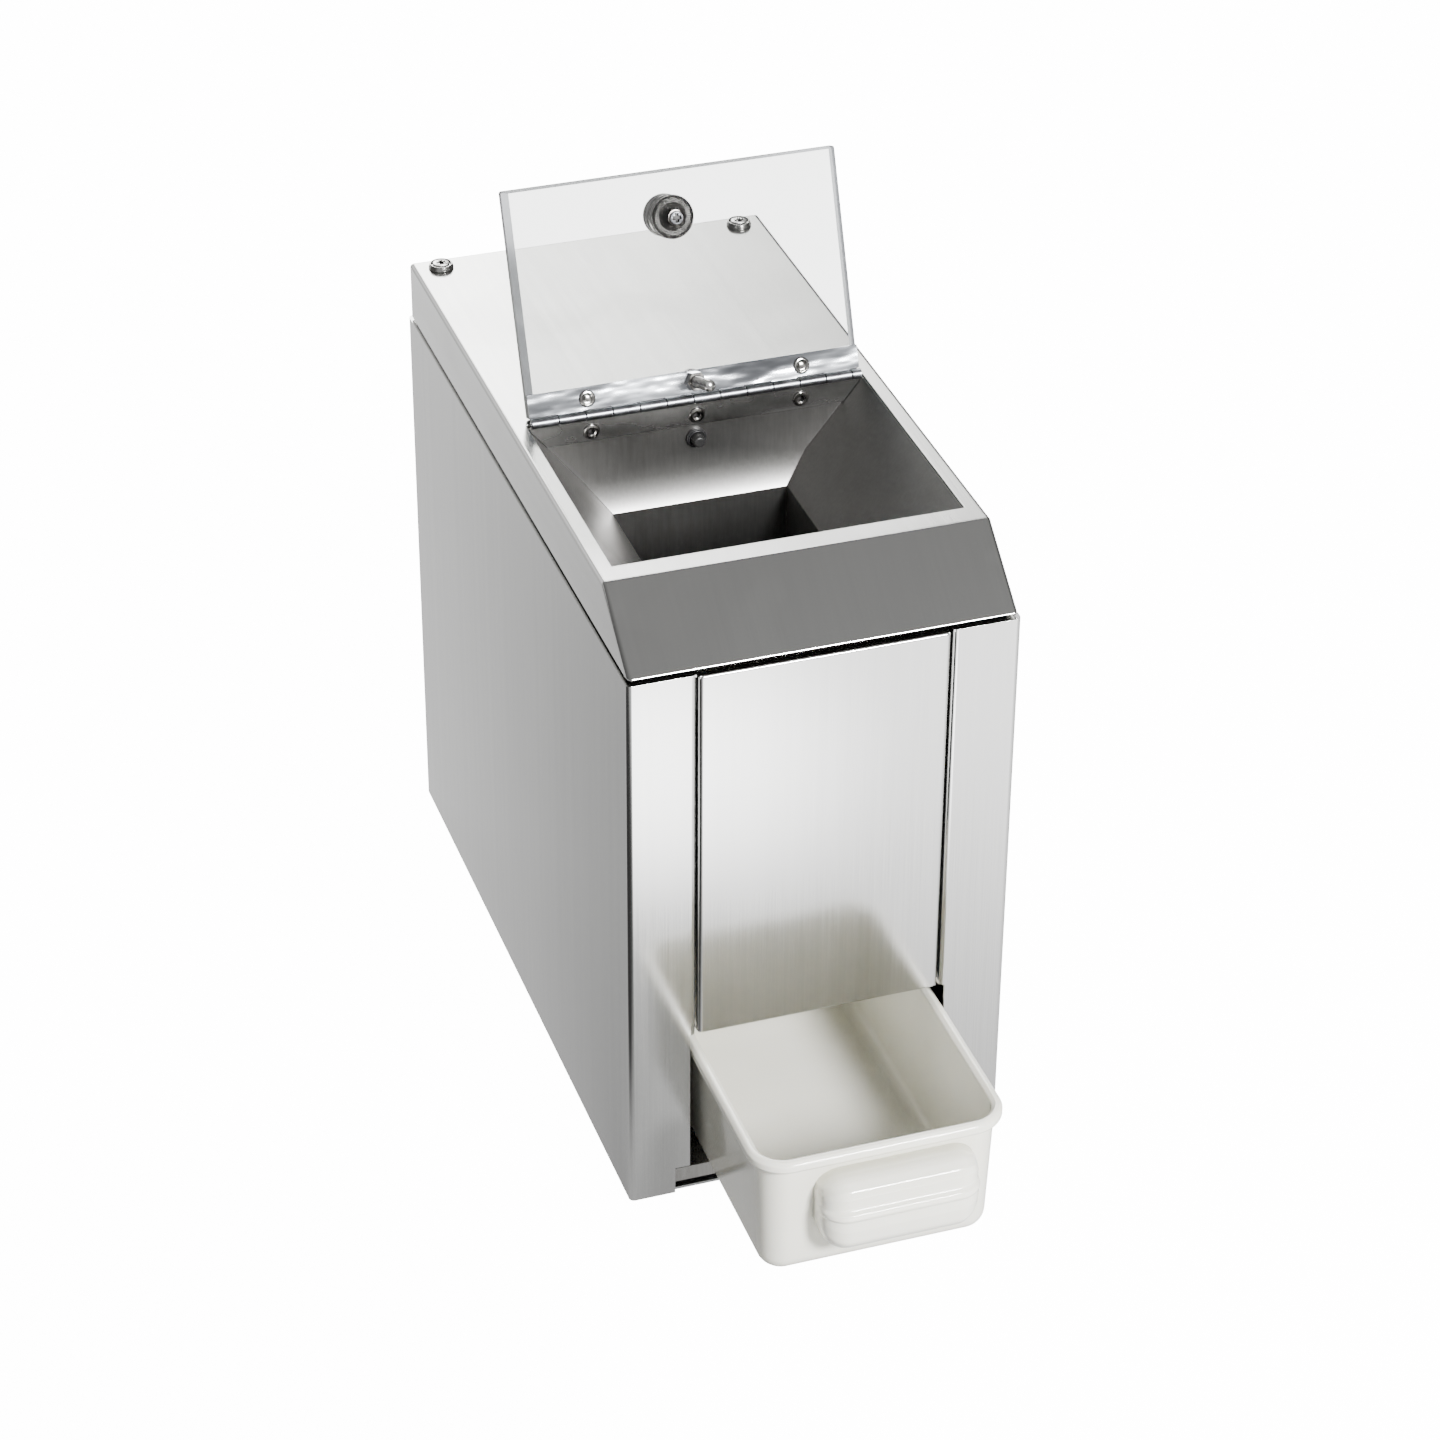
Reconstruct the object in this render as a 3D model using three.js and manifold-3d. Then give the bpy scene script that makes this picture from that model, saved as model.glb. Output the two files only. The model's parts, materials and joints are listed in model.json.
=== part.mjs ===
// Countertop ice crusher. A clear lid is hinged over a steel hopper, ice falls between a toothed
// rotor and two fixed combs, and the crushed ice drops into a tub that pulls out at the front.
// A motor behind the hopper turns the rotor through a pair of spur gears.
// Millimetres, +X right, +Y to the back, +Z up. The origin is the middle of the base plate's underside.
import * as THREE from 'three';
import { mergeVertices } from 'three/addons/utils/BufferGeometryUtils.js';
import Module from 'manifold-3d';

const wasm = await Module();
wasm.setup();

// Driving dimensions of the cabinet
const bodyWidth = 178;
const bodyDepth = 352;
const overallHeight = 307;
const coverRise = 30;
const coverSetback = 37;
const sheet = 1.2;
const bendRadius = 1.2;
const footHeight = 4;

// Driving dimensions of what the cabinet holds
const mouthMargin = 9;
const mouthFront = 48.2;
const mouthBack = 176.8;
const drawerOpeningTop = 88;
const drawerOpeningWidth = 121;
const panelWidth = 113.8;
const rotorRadius = 35;
const rotorDrop = 125;
const lidReach = 104;
const lidOpenAngle = 111.5;
const drawerPull = 88.5;
const drawerProud = 2;
const drawerLength = 196;

// Clearances shared by all the pieces
const seatGap = 0.1;
const fitGap = 0.3;
const overrun = 4;
const mergeStep = 0.0005;

// How many flat sides stand in for a circle
const facets = {
  slot: 2, pin: 8, knuckle: 12, rivet: 14, hole: 16, hub: 18, plain: 20, stud: 24, large: 36,
};

// Planes that the pieces share
const halfWidth = bodyWidth / 2;
const frontY = -bodyDepth / 2;
const backY = bodyDepth / 2;
const fromFront = (distance) => frontY + distance;
const mouthWidth = bodyWidth - 2 * mouthMargin;
const shellHeight = overallHeight - coverRise;
const rotorHeight = overallHeight - rotorDrop;

// Finishes
const brushedSteel = { color: 0xc4c4c2, metalness: 0.9, roughness: 0.38 };
const satinSteel = { color: 0x8e8f89, metalness: 0.85, roughness: 0.45 };
const bareSteel = { color: 0xb9b9b6, metalness: 0.9, roughness: 0.3 };
const galvanised = { color: 0xa4a7a8, metalness: 0.7, roughness: 0.5 };
const chromed = { color: 0xd6d8da, metalness: 1, roughness: 0.18 };
const darkNickel = { color: 0x5d5b58, metalness: 0.9, roughness: 0.35 };
const toolSteel = { color: 0x9a9c9f, metalness: 0.9, roughness: 0.32 };
const castMetal = { color: 0x9b9d9e, metalness: 0.6, roughness: 0.6 };
const paintedMetal = { color: 0x3a3d40, metalness: 0.2, roughness: 0.6 };
const creamPlastic = { color: 0xf0ede2, metalness: 0, roughness: 0.25 };
const clearPlastic = { color: 0xeef1f0, metalness: 0, roughness: 0.08, transparent: true, opacity: 0.35 };
const blackPlastic = { color: 0x1b1b1c, metalness: 0, roughness: 0.45 };
const blackRubber = { color: 0x141414, metalness: 0, roughness: 0.6 };

const radians = (degrees) => THREE.MathUtils.degToRad(degrees);

// A closed triangle mesh becomes a solid; collapsed triangles go, and an inside-out mesh is turned back
function solidOf(geometry) {
  const bare = new THREE.BufferGeometry();
  bare.setAttribute('position', geometry.getAttribute('position'));
  if (geometry.index) bare.setIndex(geometry.index);
  const merged = mergeVertices(bare, mergeStep);
  const points = merged.getAttribute('position').array;
  const source = merged.index.array;
  const kept = [];
  let volume = 0;
  const corner = [new THREE.Vector3(), new THREE.Vector3(), new THREE.Vector3()];
  for (let i = 0; i < source.length; i += 3) {
    const [a, b, c] = [source[i], source[i + 1], source[i + 2]];
    if (a === b || b === c || c === a) continue;
    kept.push(a, b, c);
    corner.forEach((v, k) => v.fromArray(points, 3 * source[i + k]));
    volume += corner[0].dot(corner[1].clone().cross(corner[2]));
  }
  if (volume < 0) kept.reverse();
  const mesh = new wasm.Mesh({
    numProp: 3,
    vertProperties: new Float32Array(points),
    triVerts: new Uint32Array(kept),
  });
  return new wasm.Manifold(mesh);
}

function geometryOf(solid) {
  const mesh = solid.getMesh();
  const geometry = new THREE.BufferGeometry();
  geometry.setAttribute('position', new THREE.BufferAttribute(new Float32Array(mesh.vertProperties), 3));
  geometry.setIndex(new THREE.BufferAttribute(new Uint32Array(mesh.triVerts), 1));
  geometry.computeVertexNormals();
  return geometry;
}

function meshOf(name, solid, finish) {
  const mesh = new THREE.Mesh(geometryOf(solid), new THREE.MeshStandardMaterial(finish));
  mesh.name = name;
  return mesh;
}

// Extrusion directions: where an outline's two coordinates and its depth point
const directions = {
  x: [[0, 1, 0], [0, 0, 1], [1, 0, 0]],
  y: [[-1, 0, 0], [0, 0, 1], [0, 1, 0]],
  z: [[1, 0, 0], [0, 1, 0], [0, 0, 1]],
};

// An outline pushed along X, Y or Z; it is drawn in (y, z), (x, z) or (x, y)
function prism(outline, from, to, along, holes = []) {
  const mirror = along === 'y' ? -1 : 1;
  const toShape = (points) => {
    const drawn = points.map(([a, b]) => new THREE.Vector2(mirror * a, b));
    return THREE.ShapeUtils.isClockWise(drawn) ? drawn.reverse() : drawn;
  };
  const shape = new THREE.Shape(toShape(outline));
  holes.forEach((hole) => shape.holes.push(new THREE.Path(toShape(hole))));
  const geometry = new THREE.ExtrudeGeometry(shape, { depth: to - from, bevelEnabled: false });
  const [first, second, depth] = directions[along].map((v) => new THREE.Vector3(...v));
  geometry.applyMatrix4(new THREE.Matrix4().makeBasis(first, second, depth));
  geometry.translate(...depth.multiplyScalar(from).toArray());
  return solidOf(geometry);
}

function block(x0, x1, y0, y1, z0, z1) {
  const geometry = new THREE.BoxGeometry(x1 - x0, y1 - y0, z1 - z0);
  geometry.translate((x0 + x1) / 2, (y0 + y1) / 2, (z0 + z1) / 2);
  return solidOf(geometry);
}

// A profile of (radius, distance along the axis) turned about X, Y or Z through a centre
function turned(profile, along, centre, sides = facets.plain) {
  const geometry = new THREE.LatheGeometry(profile.map(([r, h]) => new THREE.Vector2(r, h)), sides);
  if (along === 'z') geometry.rotateX(Math.PI / 2);
  if (along === 'x') geometry.rotateZ(-Math.PI / 2);
  geometry.translate(...centre);
  return solidOf(geometry);
}

// A plain round bar, or hole cutter, from one distance to another along its axis
function bar(radius, from, to, along, centre, sides = facets.plain) {
  return turned([[0, from], [radius, from], [radius, to], [0, to]], along, centre, sides);
}

function rectangle(x0, x1, y0, y1) {
  return [[x0, y0], [x1, y0], [x1, y1], [x0, y1]];
}

// A closed outline with each corner rounded by its own radius
function rounded(points, radii, steps = 5) {
  const outline = [];
  points.forEach((point, i) => {
    const radius = Array.isArray(radii) ? radii[i] : radii;
    const corner = new THREE.Vector2(...point);
    if (radius === 0) {
      outline.push(point);
      return;
    }
    const previous = points[(i + points.length - 1) % points.length];
    const next = points[(i + 1) % points.length];
    const before = new THREE.Vector2(...previous).sub(corner).normalize();
    const after = new THREE.Vector2(...next).sub(corner).normalize();
    const halfAngle = Math.acos(THREE.MathUtils.clamp(before.dot(after), -1, 1)) / 2;
    const reach = radius / Math.tan(halfAngle);
    const bisector = before.clone().add(after).normalize();
    const centre = bisector.multiplyScalar(radius / Math.sin(halfAngle)).add(corner);
    const start = before.multiplyScalar(reach).add(corner).sub(centre);
    const end = after.multiplyScalar(reach).add(corner).sub(centre);
    const sweep = Math.atan2(start.cross(end), start.dot(end));
    for (let k = 0; k <= steps; k += 1) {
      const spoke = start.clone().rotateAround(new THREE.Vector2(), (sweep * k) / steps).add(centre);
      outline.push([spoke.x, spoke.y]);
    }
  });
  return outline;
}

// The section of a bent sheet: one face follows the points, the other lies a thickness to their left
function bentStrip(points, thickness, insideRadius, steps = 3) {
  const near = [];
  const far = [];
  const step = (a, b) => new THREE.Vector2(b[0] - a[0], b[1] - a[1]).normalize();
  const leftOf = (v) => new THREE.Vector2(-v.y, v.x);
  const last = points.length - 1;
  points.forEach((point, i) => {
    if (i === 0 || i === last) {
      const normal = leftOf(i === 0 ? step(points[0], points[1]) : step(points[last - 1], points[last]));
      near.push([point[0], point[1]]);
      far.push([point[0] + normal.x * thickness, point[1] + normal.y * thickness]);
      return;
    }
    const incoming = step(points[i - 1], point);
    const outgoing = step(point, points[i + 1]);
    const turn = Math.atan2(incoming.cross(outgoing), incoming.dot(outgoing));
    const side = Math.sign(turn);
    const nearRadius = side > 0 ? insideRadius + thickness : insideRadius;
    const farRadius = side > 0 ? insideRadius : insideRadius + thickness;
    const normal = leftOf(incoming);
    const reach = nearRadius * Math.tan(Math.abs(turn) / 2);
    const centre = new THREE.Vector2(...point).addScaledVector(incoming, -reach);
    centre.addScaledVector(normal, side * nearRadius);
    for (let k = 0; k <= steps; k += 1) {
      const spoke = normal.clone().multiplyScalar(-side);
      spoke.rotateAround(new THREE.Vector2(), (turn * k) / steps);
      near.push([centre.x + spoke.x * nearRadius, centre.y + spoke.y * nearRadius]);
      far.push([centre.x + spoke.x * farRadius, centre.y + spoke.y * farRadius]);
    }
  });
  return near.concat(far.reverse());
}

// A body stretched through closed rings of equally many points, capped at both ends
function loft(rings) {
  const count = rings[0].points.length;
  const positions = [];
  const indices = [];
  rings.forEach(({ points, z }) => points.forEach(([x, y]) => positions.push(x, y, z)));
  for (let r = 0; r < rings.length - 1; r += 1) {
    for (let i = 0; i < count; i += 1) {
      const next = (i + 1) % count;
      const [a, b] = [r * count + i, r * count + next];
      indices.push(a, b, b + count, a, b + count, a + count);
    }
  }
  const top = (rings.length - 1) * count;
  const contour = rings[0].points.map(([x, y]) => new THREE.Vector2(x, y));
  THREE.ShapeUtils.triangulateShape(contour, []).forEach(([a, b, c]) => {
    indices.push(a, c, b);
    indices.push(top + a, top + b, top + c);
  });
  const geometry = new THREE.BufferGeometry();
  geometry.setAttribute('position', new THREE.Float32BufferAttribute(positions, 3));
  geometry.setIndex(indices);
  return solidOf(geometry);
}

// Sizes of the wrapped shell and the front
const shell = {
  slotHalf: panelWidth / 2 + 0.9,
  returnDepth: 12,
  flange: 9,
  notchWidth: 7,
  notchHeight: 14,
  ventWidth: 70,
  ventHeight: 3.5,
  ventPitch: 9,
  ventCount: 9,
  ventBottom: 118,
  ventRoundShare: 0.48,
};
const frontPanel = { lowered: 1.2, returnDepth: 12, lip: 9 };
const crossbar = { height: 16, thickness: 3, below: 9, overhang: 14 };

// Sizes of the rocker switch and the cable gland on the back
const rocker = {
  x: 48, z: 62, width: 19, height: 27, bezel: 2.4, bezelThickness: 2, depth: 17, wall: 1.8,
  keyReach: 5, keyDepth: 7, keyGap: 0.9, pivotBehind: 1.5, tilt: 9,
};
// Where the key's section has its shoulders, its ends and its hollow
const keyShares = { shoulderDepth: 0.4, shoulderHeight: 0.9, end: 0.7, hollow: 0.35 };
const gland = {
  x: 48, z: 26, hole: 8, flange: 12, flangeThickness: 4, neck: 9, neckEdge: 1.5, reach: 14, bore: 3.6,
  inside: 9,
};

function outerShell() {
  const { slotHalf, returnDepth, flange, notchWidth, notchHeight } = shell;
  const wrap = [
    [slotHalf, fromFront(returnDepth)], [slotHalf, frontY], [halfWidth, frontY], [halfWidth, backY],
    [-halfWidth, backY], [-halfWidth, frontY], [-slotHalf, frontY], [-slotHalf, fromFront(returnDepth)],
  ];
  let body = prism(bentStrip(wrap, sheet, bendRadius), 0, shellHeight, 'z');
  const middle = sheet / 2;
  const outside = rounded(
    rectangle(middle - halfWidth, halfWidth - middle, frontY + middle, backY - middle), bendRadius + middle,
  );
  const inside = rectangle(flange - halfWidth, halfWidth - flange, frontY + flange, backY - flange);
  const lip = prism(outside, shellHeight - sheet, shellHeight, 'z', [inside]);
  const gap = block(-slotHalf, slotHalf, frontY - overrun, frontY + flange + overrun,
    shellHeight - sheet - overrun, shellHeight + overrun);
  body = body.add(lip.subtract(gap));
  const openingHalf = drawerOpeningWidth / 2;
  body = body.subtract(block(-openingHalf, openingHalf, frontY - overrun, fromFront(returnDepth) + overrun,
    -overrun, drawerOpeningTop));
  const notchHalf = openingHalf + notchWidth;
  body = body.subtract(block(-notchHalf, notchHalf, frontY - overrun, frontY + sheet + overrun,
    -overrun, notchHeight));
  const cutFrom = backY - sheet - overrun;
  const cutTo = backY + overrun;
  for (let i = 0; i < shell.ventCount; i += 1) {
    const z = shell.ventBottom + i * shell.ventPitch;
    const half = shell.ventWidth / 2;
    const round = shell.ventHeight * shell.ventRoundShare;
    const slot = rounded(rectangle(-half, half, z, z + shell.ventHeight), round, facets.slot);
    body = body.subtract(prism(slot, cutFrom, cutTo, 'y'));
  }
  const rockerHalfWidth = rocker.width / 2 + fitGap;
  const rockerHalfHeight = rocker.height / 2 + fitGap;
  body = body.subtract(block(rocker.x - rockerHalfWidth, rocker.x + rockerHalfWidth, cutFrom, cutTo,
    rocker.z - rockerHalfHeight, rocker.z + rockerHalfHeight));
  return body.subtract(bar(gland.hole + fitGap, cutFrom, cutTo, 'y', [gland.x, 0, gland.z]));
}

function frontPanelSolid() {
  const half = panelWidth / 2;
  const { returnDepth, lip, lowered } = frontPanel;
  const top = shellHeight - lowered;
  const plan = [
    [-half, fromFront(returnDepth)], [-half, frontY], [half, frontY], [half, fromFront(returnDepth)],
  ];
  const face = prism(bentStrip(plan, sheet, bendRadius), drawerOpeningTop, top, 'z');
  const inner = half - sheet / 2;
  const fold = (z) => block(-inner, inner, frontY + sheet / 2, fromFront(lip), z, z + sheet);
  return face.add(fold(drawerOpeningTop)).add(fold(top - sheet));
}

function crossbarSolid() {
  const y = fromFront(shell.returnDepth) + seatGap;
  const top = shellHeight - crossbar.below - frontPanel.lowered;
  const half = shell.slotHalf + crossbar.overhang;
  return block(-half, half, y, y + crossbar.thickness, top - crossbar.height, top);
}

// The cover: a folded cap with a sloping front and the hopper's mouth cut in its top
const cover = {
  sideInset: 1, frontInset: 0.6, backInset: 3, lift: 2, edgeRadius: 2.2, leastRadius: 0.4, frontReturn: 8,
  screwSideInset: 14, screwInset: 13, screwHole: 2.9,
};
const screwX = halfWidth - cover.screwSideInset;
const coverBottom = shellHeight + cover.lift;
const coverUnder = overallHeight - sheet;

// The cap's outer form, or its hollow when it is drawn in by a sheet
function capSolid(inset) {
  const half = halfWidth - cover.sideInset - inset;
  const radius = Math.max(cover.edgeRadius - inset, cover.leastRadius);
  const front = fromFront(cover.frontInset);
  const slope = Math.atan2(overallHeight - coverBottom, coverSetback - cover.frontInset);
  const slopeShift = inset / Math.sin(slope);
  const topShift = inset / Math.tan(slope);
  const bottom = inset > 0 ? coverBottom - overrun : coverBottom;
  const bottomFront = front + slopeShift - (coverBottom - bottom) / Math.tan(slope);
  const back = backY - cover.backInset - inset;
  const side = [
    [bottomFront, bottom], [back, bottom], [back, overallHeight - inset],
    [fromFront(coverSetback) + slopeShift - topShift, overallHeight - inset],
  ];
  const along = prism(rounded(side, [0, 0, radius, radius]), -half, half, 'x');
  // the long edges of the top and of the slope are folded to the same radius
  const reach = 2 * bodyDepth;
  const section = (top) => rounded(
    [[-half, top - reach], [half, top - reach], [half, top], [-half, top]], [0, 0, radius, radius],
  );
  const acrossTop = prism(section(overallHeight - inset), frontY - overrun, backY + overrun, 'y');
  const tilted = prism(section(0), -reach, reach, 'y').rotate([THREE.MathUtils.radToDeg(slope), 0, 0]);
  const acrossSlope = tilted.translate([
    0, fromFront(coverSetback) + slopeShift - topShift, overallHeight - inset,
  ]);
  return along.intersect(acrossTop).intersect(acrossSlope);
}

const mouthHalf = mouthWidth / 2;
function topCover() {
  let cap = capSolid(0).subtract(capSolid(sheet));
  const inner = halfWidth - cover.sideInset - sheet;
  const lipFront = fromFront(cover.frontInset + sheet);
  const lipBack = lipFront + cover.frontReturn;
  const lip = block(-inner, inner, lipFront, lipBack, coverBottom, coverBottom + sheet);
  cap = cap.add(lip.intersect(capSolid(sheet / 2)));
  cap = cap.subtract(block(-mouthHalf, mouthHalf, fromFront(mouthFront), fromFront(mouthBack) + fitGap,
    coverUnder - overrun, overallHeight + overrun));
  [-screwX, screwX].forEach((x) => {
    cap = cap.subtract(bar(cover.screwHole, coverUnder - overrun, overallHeight + overrun, 'z',
      [x, backY - cover.screwInset, 0]));
  });
  return cap;
}

// The bar across the back that the cover's screws go into
const rearRail = { sideInset: 5, behind: 4.4, footLength: 9, headLength: 20 };
function rearRailSolid() {
  const y = backY - rearRail.behind;
  const foot = shellHeight + seatGap;
  const head = coverUnder - seatGap;
  const section = [
    [y - rearRail.footLength, foot], [y, foot], [y, head], [y - rearRail.headLength, head],
  ];
  const half = halfWidth - rearRail.sideInset;
  let rail = prism(bentStrip(section, sheet, bendRadius), -half, half, 'x');
  [-screwX, screwX].forEach((x) => {
    rail = rail.subtract(bar(cover.screwHole, head - overrun, head + overrun, 'z',
      [x, backY - cover.screwInset, 0]));
  });
  return rail;
}

// A cross recess for a screwdriver, cut into a head whose top is at the given height
function crossRecess(size, depth, width, top) {
  const arm = size / 2;
  return block(-arm, arm, -width / 2, width / 2, top - depth, top + overrun)
    .add(block(-width / 2, width / 2, -arm, arm, top - depth, top + overrun));
}

const coverScrew = {
  headRadius: 4.5, headHeight: 2.4, dome: 0.8, shankRadius: 2.4, shankLength: 13, seat: 1.2,
  washerRadius: 6, washerTop: 5.4, washerHeight: 2.4, cross: 5.4, crossWidth: 1.2, crossDepth: 1.4,
};
function coverWasher() {
  const { washerRadius, washerTop, washerHeight, seat, headRadius, shankRadius } = coverScrew;
  return turned([
    [shankRadius + fitGap, seatGap], [washerRadius, seatGap], [washerTop, washerHeight],
    [headRadius + fitGap, washerHeight], [headRadius + fitGap, seat + seatGap],
    [shankRadius + fitGap, seat + seatGap], [shankRadius + fitGap, seatGap],
  ], 'z', [0, 0, 0]);
}
function coverScrewSolid() {
  const { headRadius, headHeight, dome, shankRadius, shankLength, seat } = coverScrew;
  const base = seat + 2 * seatGap;
  const top = base + headHeight;
  const body = turned([
    [0, base - shankLength], [shankRadius, base - shankLength], [shankRadius, base], [headRadius, base],
    [headRadius, top - dome], [headRadius - dome, top - dome / 2], [headRadius / 2, top], [0, top],
  ], 'z', [0, 0, 0]);
  return body.subtract(crossRecess(coverScrew.cross, coverScrew.crossDepth, coverScrew.crossWidth, top));
}

// The floor that the tub slides on, the base plate under it, the feet and the tub's guides
const basePlate = { thickness: 1.5, clearance: 1.8 };
const chassis = { top: 12, thickness: 1.5, lipBottom: 4.5, frontInset: 2 };
const foot = { radius: 9, taper: 1, sideInset: 19, inset: 24, recess: 4, recessDepth: 1.5 };
const rail = { halfGap: 57.2, height: 12, thickness: 1.2, footWidth: 6, start: 14, stop: 16 };

function basePlateSolid() {
  const half = halfWidth - basePlate.clearance;
  return prism(rectangle(-half, half, frontY + basePlate.clearance, backY - basePlate.clearance),
    0, basePlate.thickness, 'z');
}

function chassisFloor() {
  const half = halfWidth - sheet - fitGap;
  const { top, thickness, lipBottom, frontInset } = chassis;
  const foots = basePlate.thickness + seatGap;
  const section = [[-half, foots], [-half, top], [half, top], [half, foots]];
  const y0 = fromFront(frontInset);
  const y1 = backY - sheet - bendRadius - fitGap;
  const tray = prism(bentStrip(section.reverse(), thickness, bendRadius), y0 + thickness, y1, 'y');
  const lip = block(-half, half, y0, y0 + thickness, lipBottom, top);
  const joined = block(-half, half, y0, y0 + 2 * thickness, top - thickness, top);
  return tray.add(lip).add(joined);
}

function footSolid() {
  const { radius, taper, recess, recessDepth } = foot;
  return turned([
    [0, recessDepth - footHeight], [recess, recessDepth - footHeight], [recess, -footHeight],
    [radius - taper, -footHeight], [radius, -seatGap], [0, -seatGap],
  ], 'z', [0, 0, 0]);
}

// The crusher: a cast box open above and below, bored for the shaft, on two stands
const housing = {
  halfInside: 42, front: 80, back: 170, sideWall: 5, endWall: 6, rise: 40, drop: 42,
  lugWidth: 14, lugHeight: 6,
};
const housingTop = rotorHeight + housing.rise;
const housingBottom = rotorHeight - housing.drop;
const bearing = { outer: 14, flange: 18, flangeThickness: 3, shaft: 6 };
const stand = { x: 64, thickness: 1.5, front: 84, back: 166, footWidth: 8 };

function crusherHousing() {
  const { halfInside, front, back, sideWall, endWall, lugWidth, lugHeight } = housing;
  const outer = halfInside + sideWall;
  let box = block(-outer, outer, fromFront(front - endWall), fromFront(back + endWall),
    housingBottom, housingTop);
  box = box.add(block(-outer - lugWidth, outer + lugWidth, fromFront(stand.front), fromFront(stand.back),
    housingBottom, housingBottom + lugHeight));
  box = box.subtract(block(-halfInside, halfInside, fromFront(front), fromFront(back),
    housingBottom - overrun, housingTop + overrun));
  return box.subtract(bar(bearing.outer + seatGap, fromFront(front - endWall) - overrun,
    fromFront(back + endWall) + overrun, 'y', [0, 0, rotorHeight]));
}

// A flanged bearing pushed into an end wall from outside
function bearingSolid(outsideY, side) {
  const { outer, flange, flangeThickness, shaft } = bearing;
  const hole = shaft + fitGap / 2;
  const inside = -side * (housing.endWall - fitGap);
  const face = side * seatGap;
  const rim = side * (seatGap + flangeThickness);
  return turned([
    [hole, inside], [outer - seatGap, inside], [outer - seatGap, face], [flange, face],
    [flange, rim], [hole, rim], [hole, inside],
  ], 'y', [0, outsideY, rotorHeight]);
}

// The section is drawn for the right hand, and mirrored for the left
function standSolid(side) {
  const { x, thickness, footWidth, front, back } = stand;
  const base = chassis.top + seatGap;
  const head = housingBottom - seatGap - thickness;
  const headReach = housing.halfInside + housing.sideWall + fitGap;
  const section = bentStrip([[headReach, head], [x, head], [x, base], [x + footWidth, base]],
    thickness, bendRadius).map(([across, z]) => [side * across, z]);
  return prism(section, fromFront(front), fromFront(back), 'y');
}

// Blades on the rotor and the combs that they pass between
const blade = {
  count: 5, thickness: 6, teeth: 4, hub: 13.5, flats: 17, rootShare: 0.56, hookShare: 0.9, phase: 18,
};
// One tooth's corners: how far round its pitch each lies, and how high its back and its foot are
const toothShares = { edge: 0.06, tipStart: 0.1, tipEnd: 0.2, back: 0.42, foot: 0.7, footRise: 1.06 };
const bladePitch = (housing.back - housing.front) / blade.count;
const bladeCentre = (index) => fromFront(housing.front + bladePitch * (index + 0.5));
const comb = { plate: 4, finger: 7, tip: 3.2, rise: 15, fall: 11, tipHalf: 4.5, margin: 2 };

function combSolid(side) {
  const back = housing.halfInside - seatGap;
  const { plate, finger, tip, rise, fall, tipHalf, margin } = comb;
  const base = [
    [back, rotorHeight - fall - margin], [back, rotorHeight + rise + margin],
    [back - plate, rotorHeight + rise], [back - plate, rotorHeight - fall],
  ];
  const inner = blade.hub + tip;
  const tooth = [
    [back - plate / 2, rotorHeight - fall], [back - plate / 2, rotorHeight + rise],
    [inner, rotorHeight + tipHalf], [inner, rotorHeight - tipHalf],
  ];
  const spread = (outline) => outline.map(([x, z]) => [side * x, z]);
  let solid = prism(spread(base), fromFront(housing.front) + fitGap, fromFront(housing.back) - fitGap, 'y');
  for (let i = 0; i < blade.count - 1; i += 1) {
    const y = (bladeCentre(i) + bladeCentre(i + 1)) / 2;
    solid = solid.add(prism(spread(tooth), y - finger / 2, y + finger / 2, 'y'));
  }
  return solid;
}

// A hexagon across its flats, for the shaft's drive and the blades' bores
function hexagon(flats) {
  const radius = flats / Math.sqrt(3);
  return Array.from({ length: 6 }, (_, i) => {
    const angle = (i * Math.PI) / 3;
    return [radius * Math.cos(angle), radius * Math.sin(angle)];
  });
}

// One blade: hooked teeth on a disc, with a hub that spaces it from the next
function bladeSolid(index) {
  const outline = [];
  const root = rotorRadius * blade.rootShare;
  for (let t = 0; t < blade.teeth; t += 1) {
    const start = ((t * 360) / blade.teeth) + index * blade.phase;
    const step = 360 / blade.teeth;
    // the leading face stands steep, the tip is short, and the back falls away to the next root
    const marks = [
      [0, root], [toothShares.edge, rotorRadius * blade.hookShare], [toothShares.tipStart, rotorRadius],
      [toothShares.tipEnd, rotorRadius],
      [toothShares.back, rotorRadius * (blade.hookShare + blade.rootShare) / 2],
      [toothShares.foot, root * toothShares.footRise],
    ];
    marks.forEach(([share, radius]) => {
      const angle = radians(start + share * step);
      outline.push([radius * Math.cos(angle), radius * Math.sin(angle)]);
    });
  }
  const half = blade.thickness / 2;
  const bore = hexagon(blade.flats + 2 * fitGap);
  const hubHalf = bladePitch / 2 - seatGap;
  const disc = prism(outline, -half, half, 'y', [bore]);
  const hub = turned([
    [0, -hubHalf], [blade.hub, -hubHalf], [blade.hub, hubHalf], [0, hubHalf],
  ], 'y', [0, 0, 0], facets.hub).subtract(prism(bore, -bladePitch, bladePitch, 'y'));
  return disc.add(hub);
}

// The spur gears, on a shared module
const gears = {
  module: 2, wheelTeeth: 42, pinionTeeth: 14, width: 8, backlash: 0.35, pressureAngle: 20,
  addendumShare: 0.9, dedendumShare: 1.2,
  wheelFront: 186, hub: 11, pinionExtra: 1.5, webRadius: 33, webHub: 17, webThickness: 4,
};
const wheelPitchRadius = (gears.module * gears.wheelTeeth) / 2;
const pinionPitchRadius = (gears.module * gears.pinionTeeth) / 2;
const motorHeight = rotorHeight - wheelPitchRadius - pinionPitchRadius;

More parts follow.
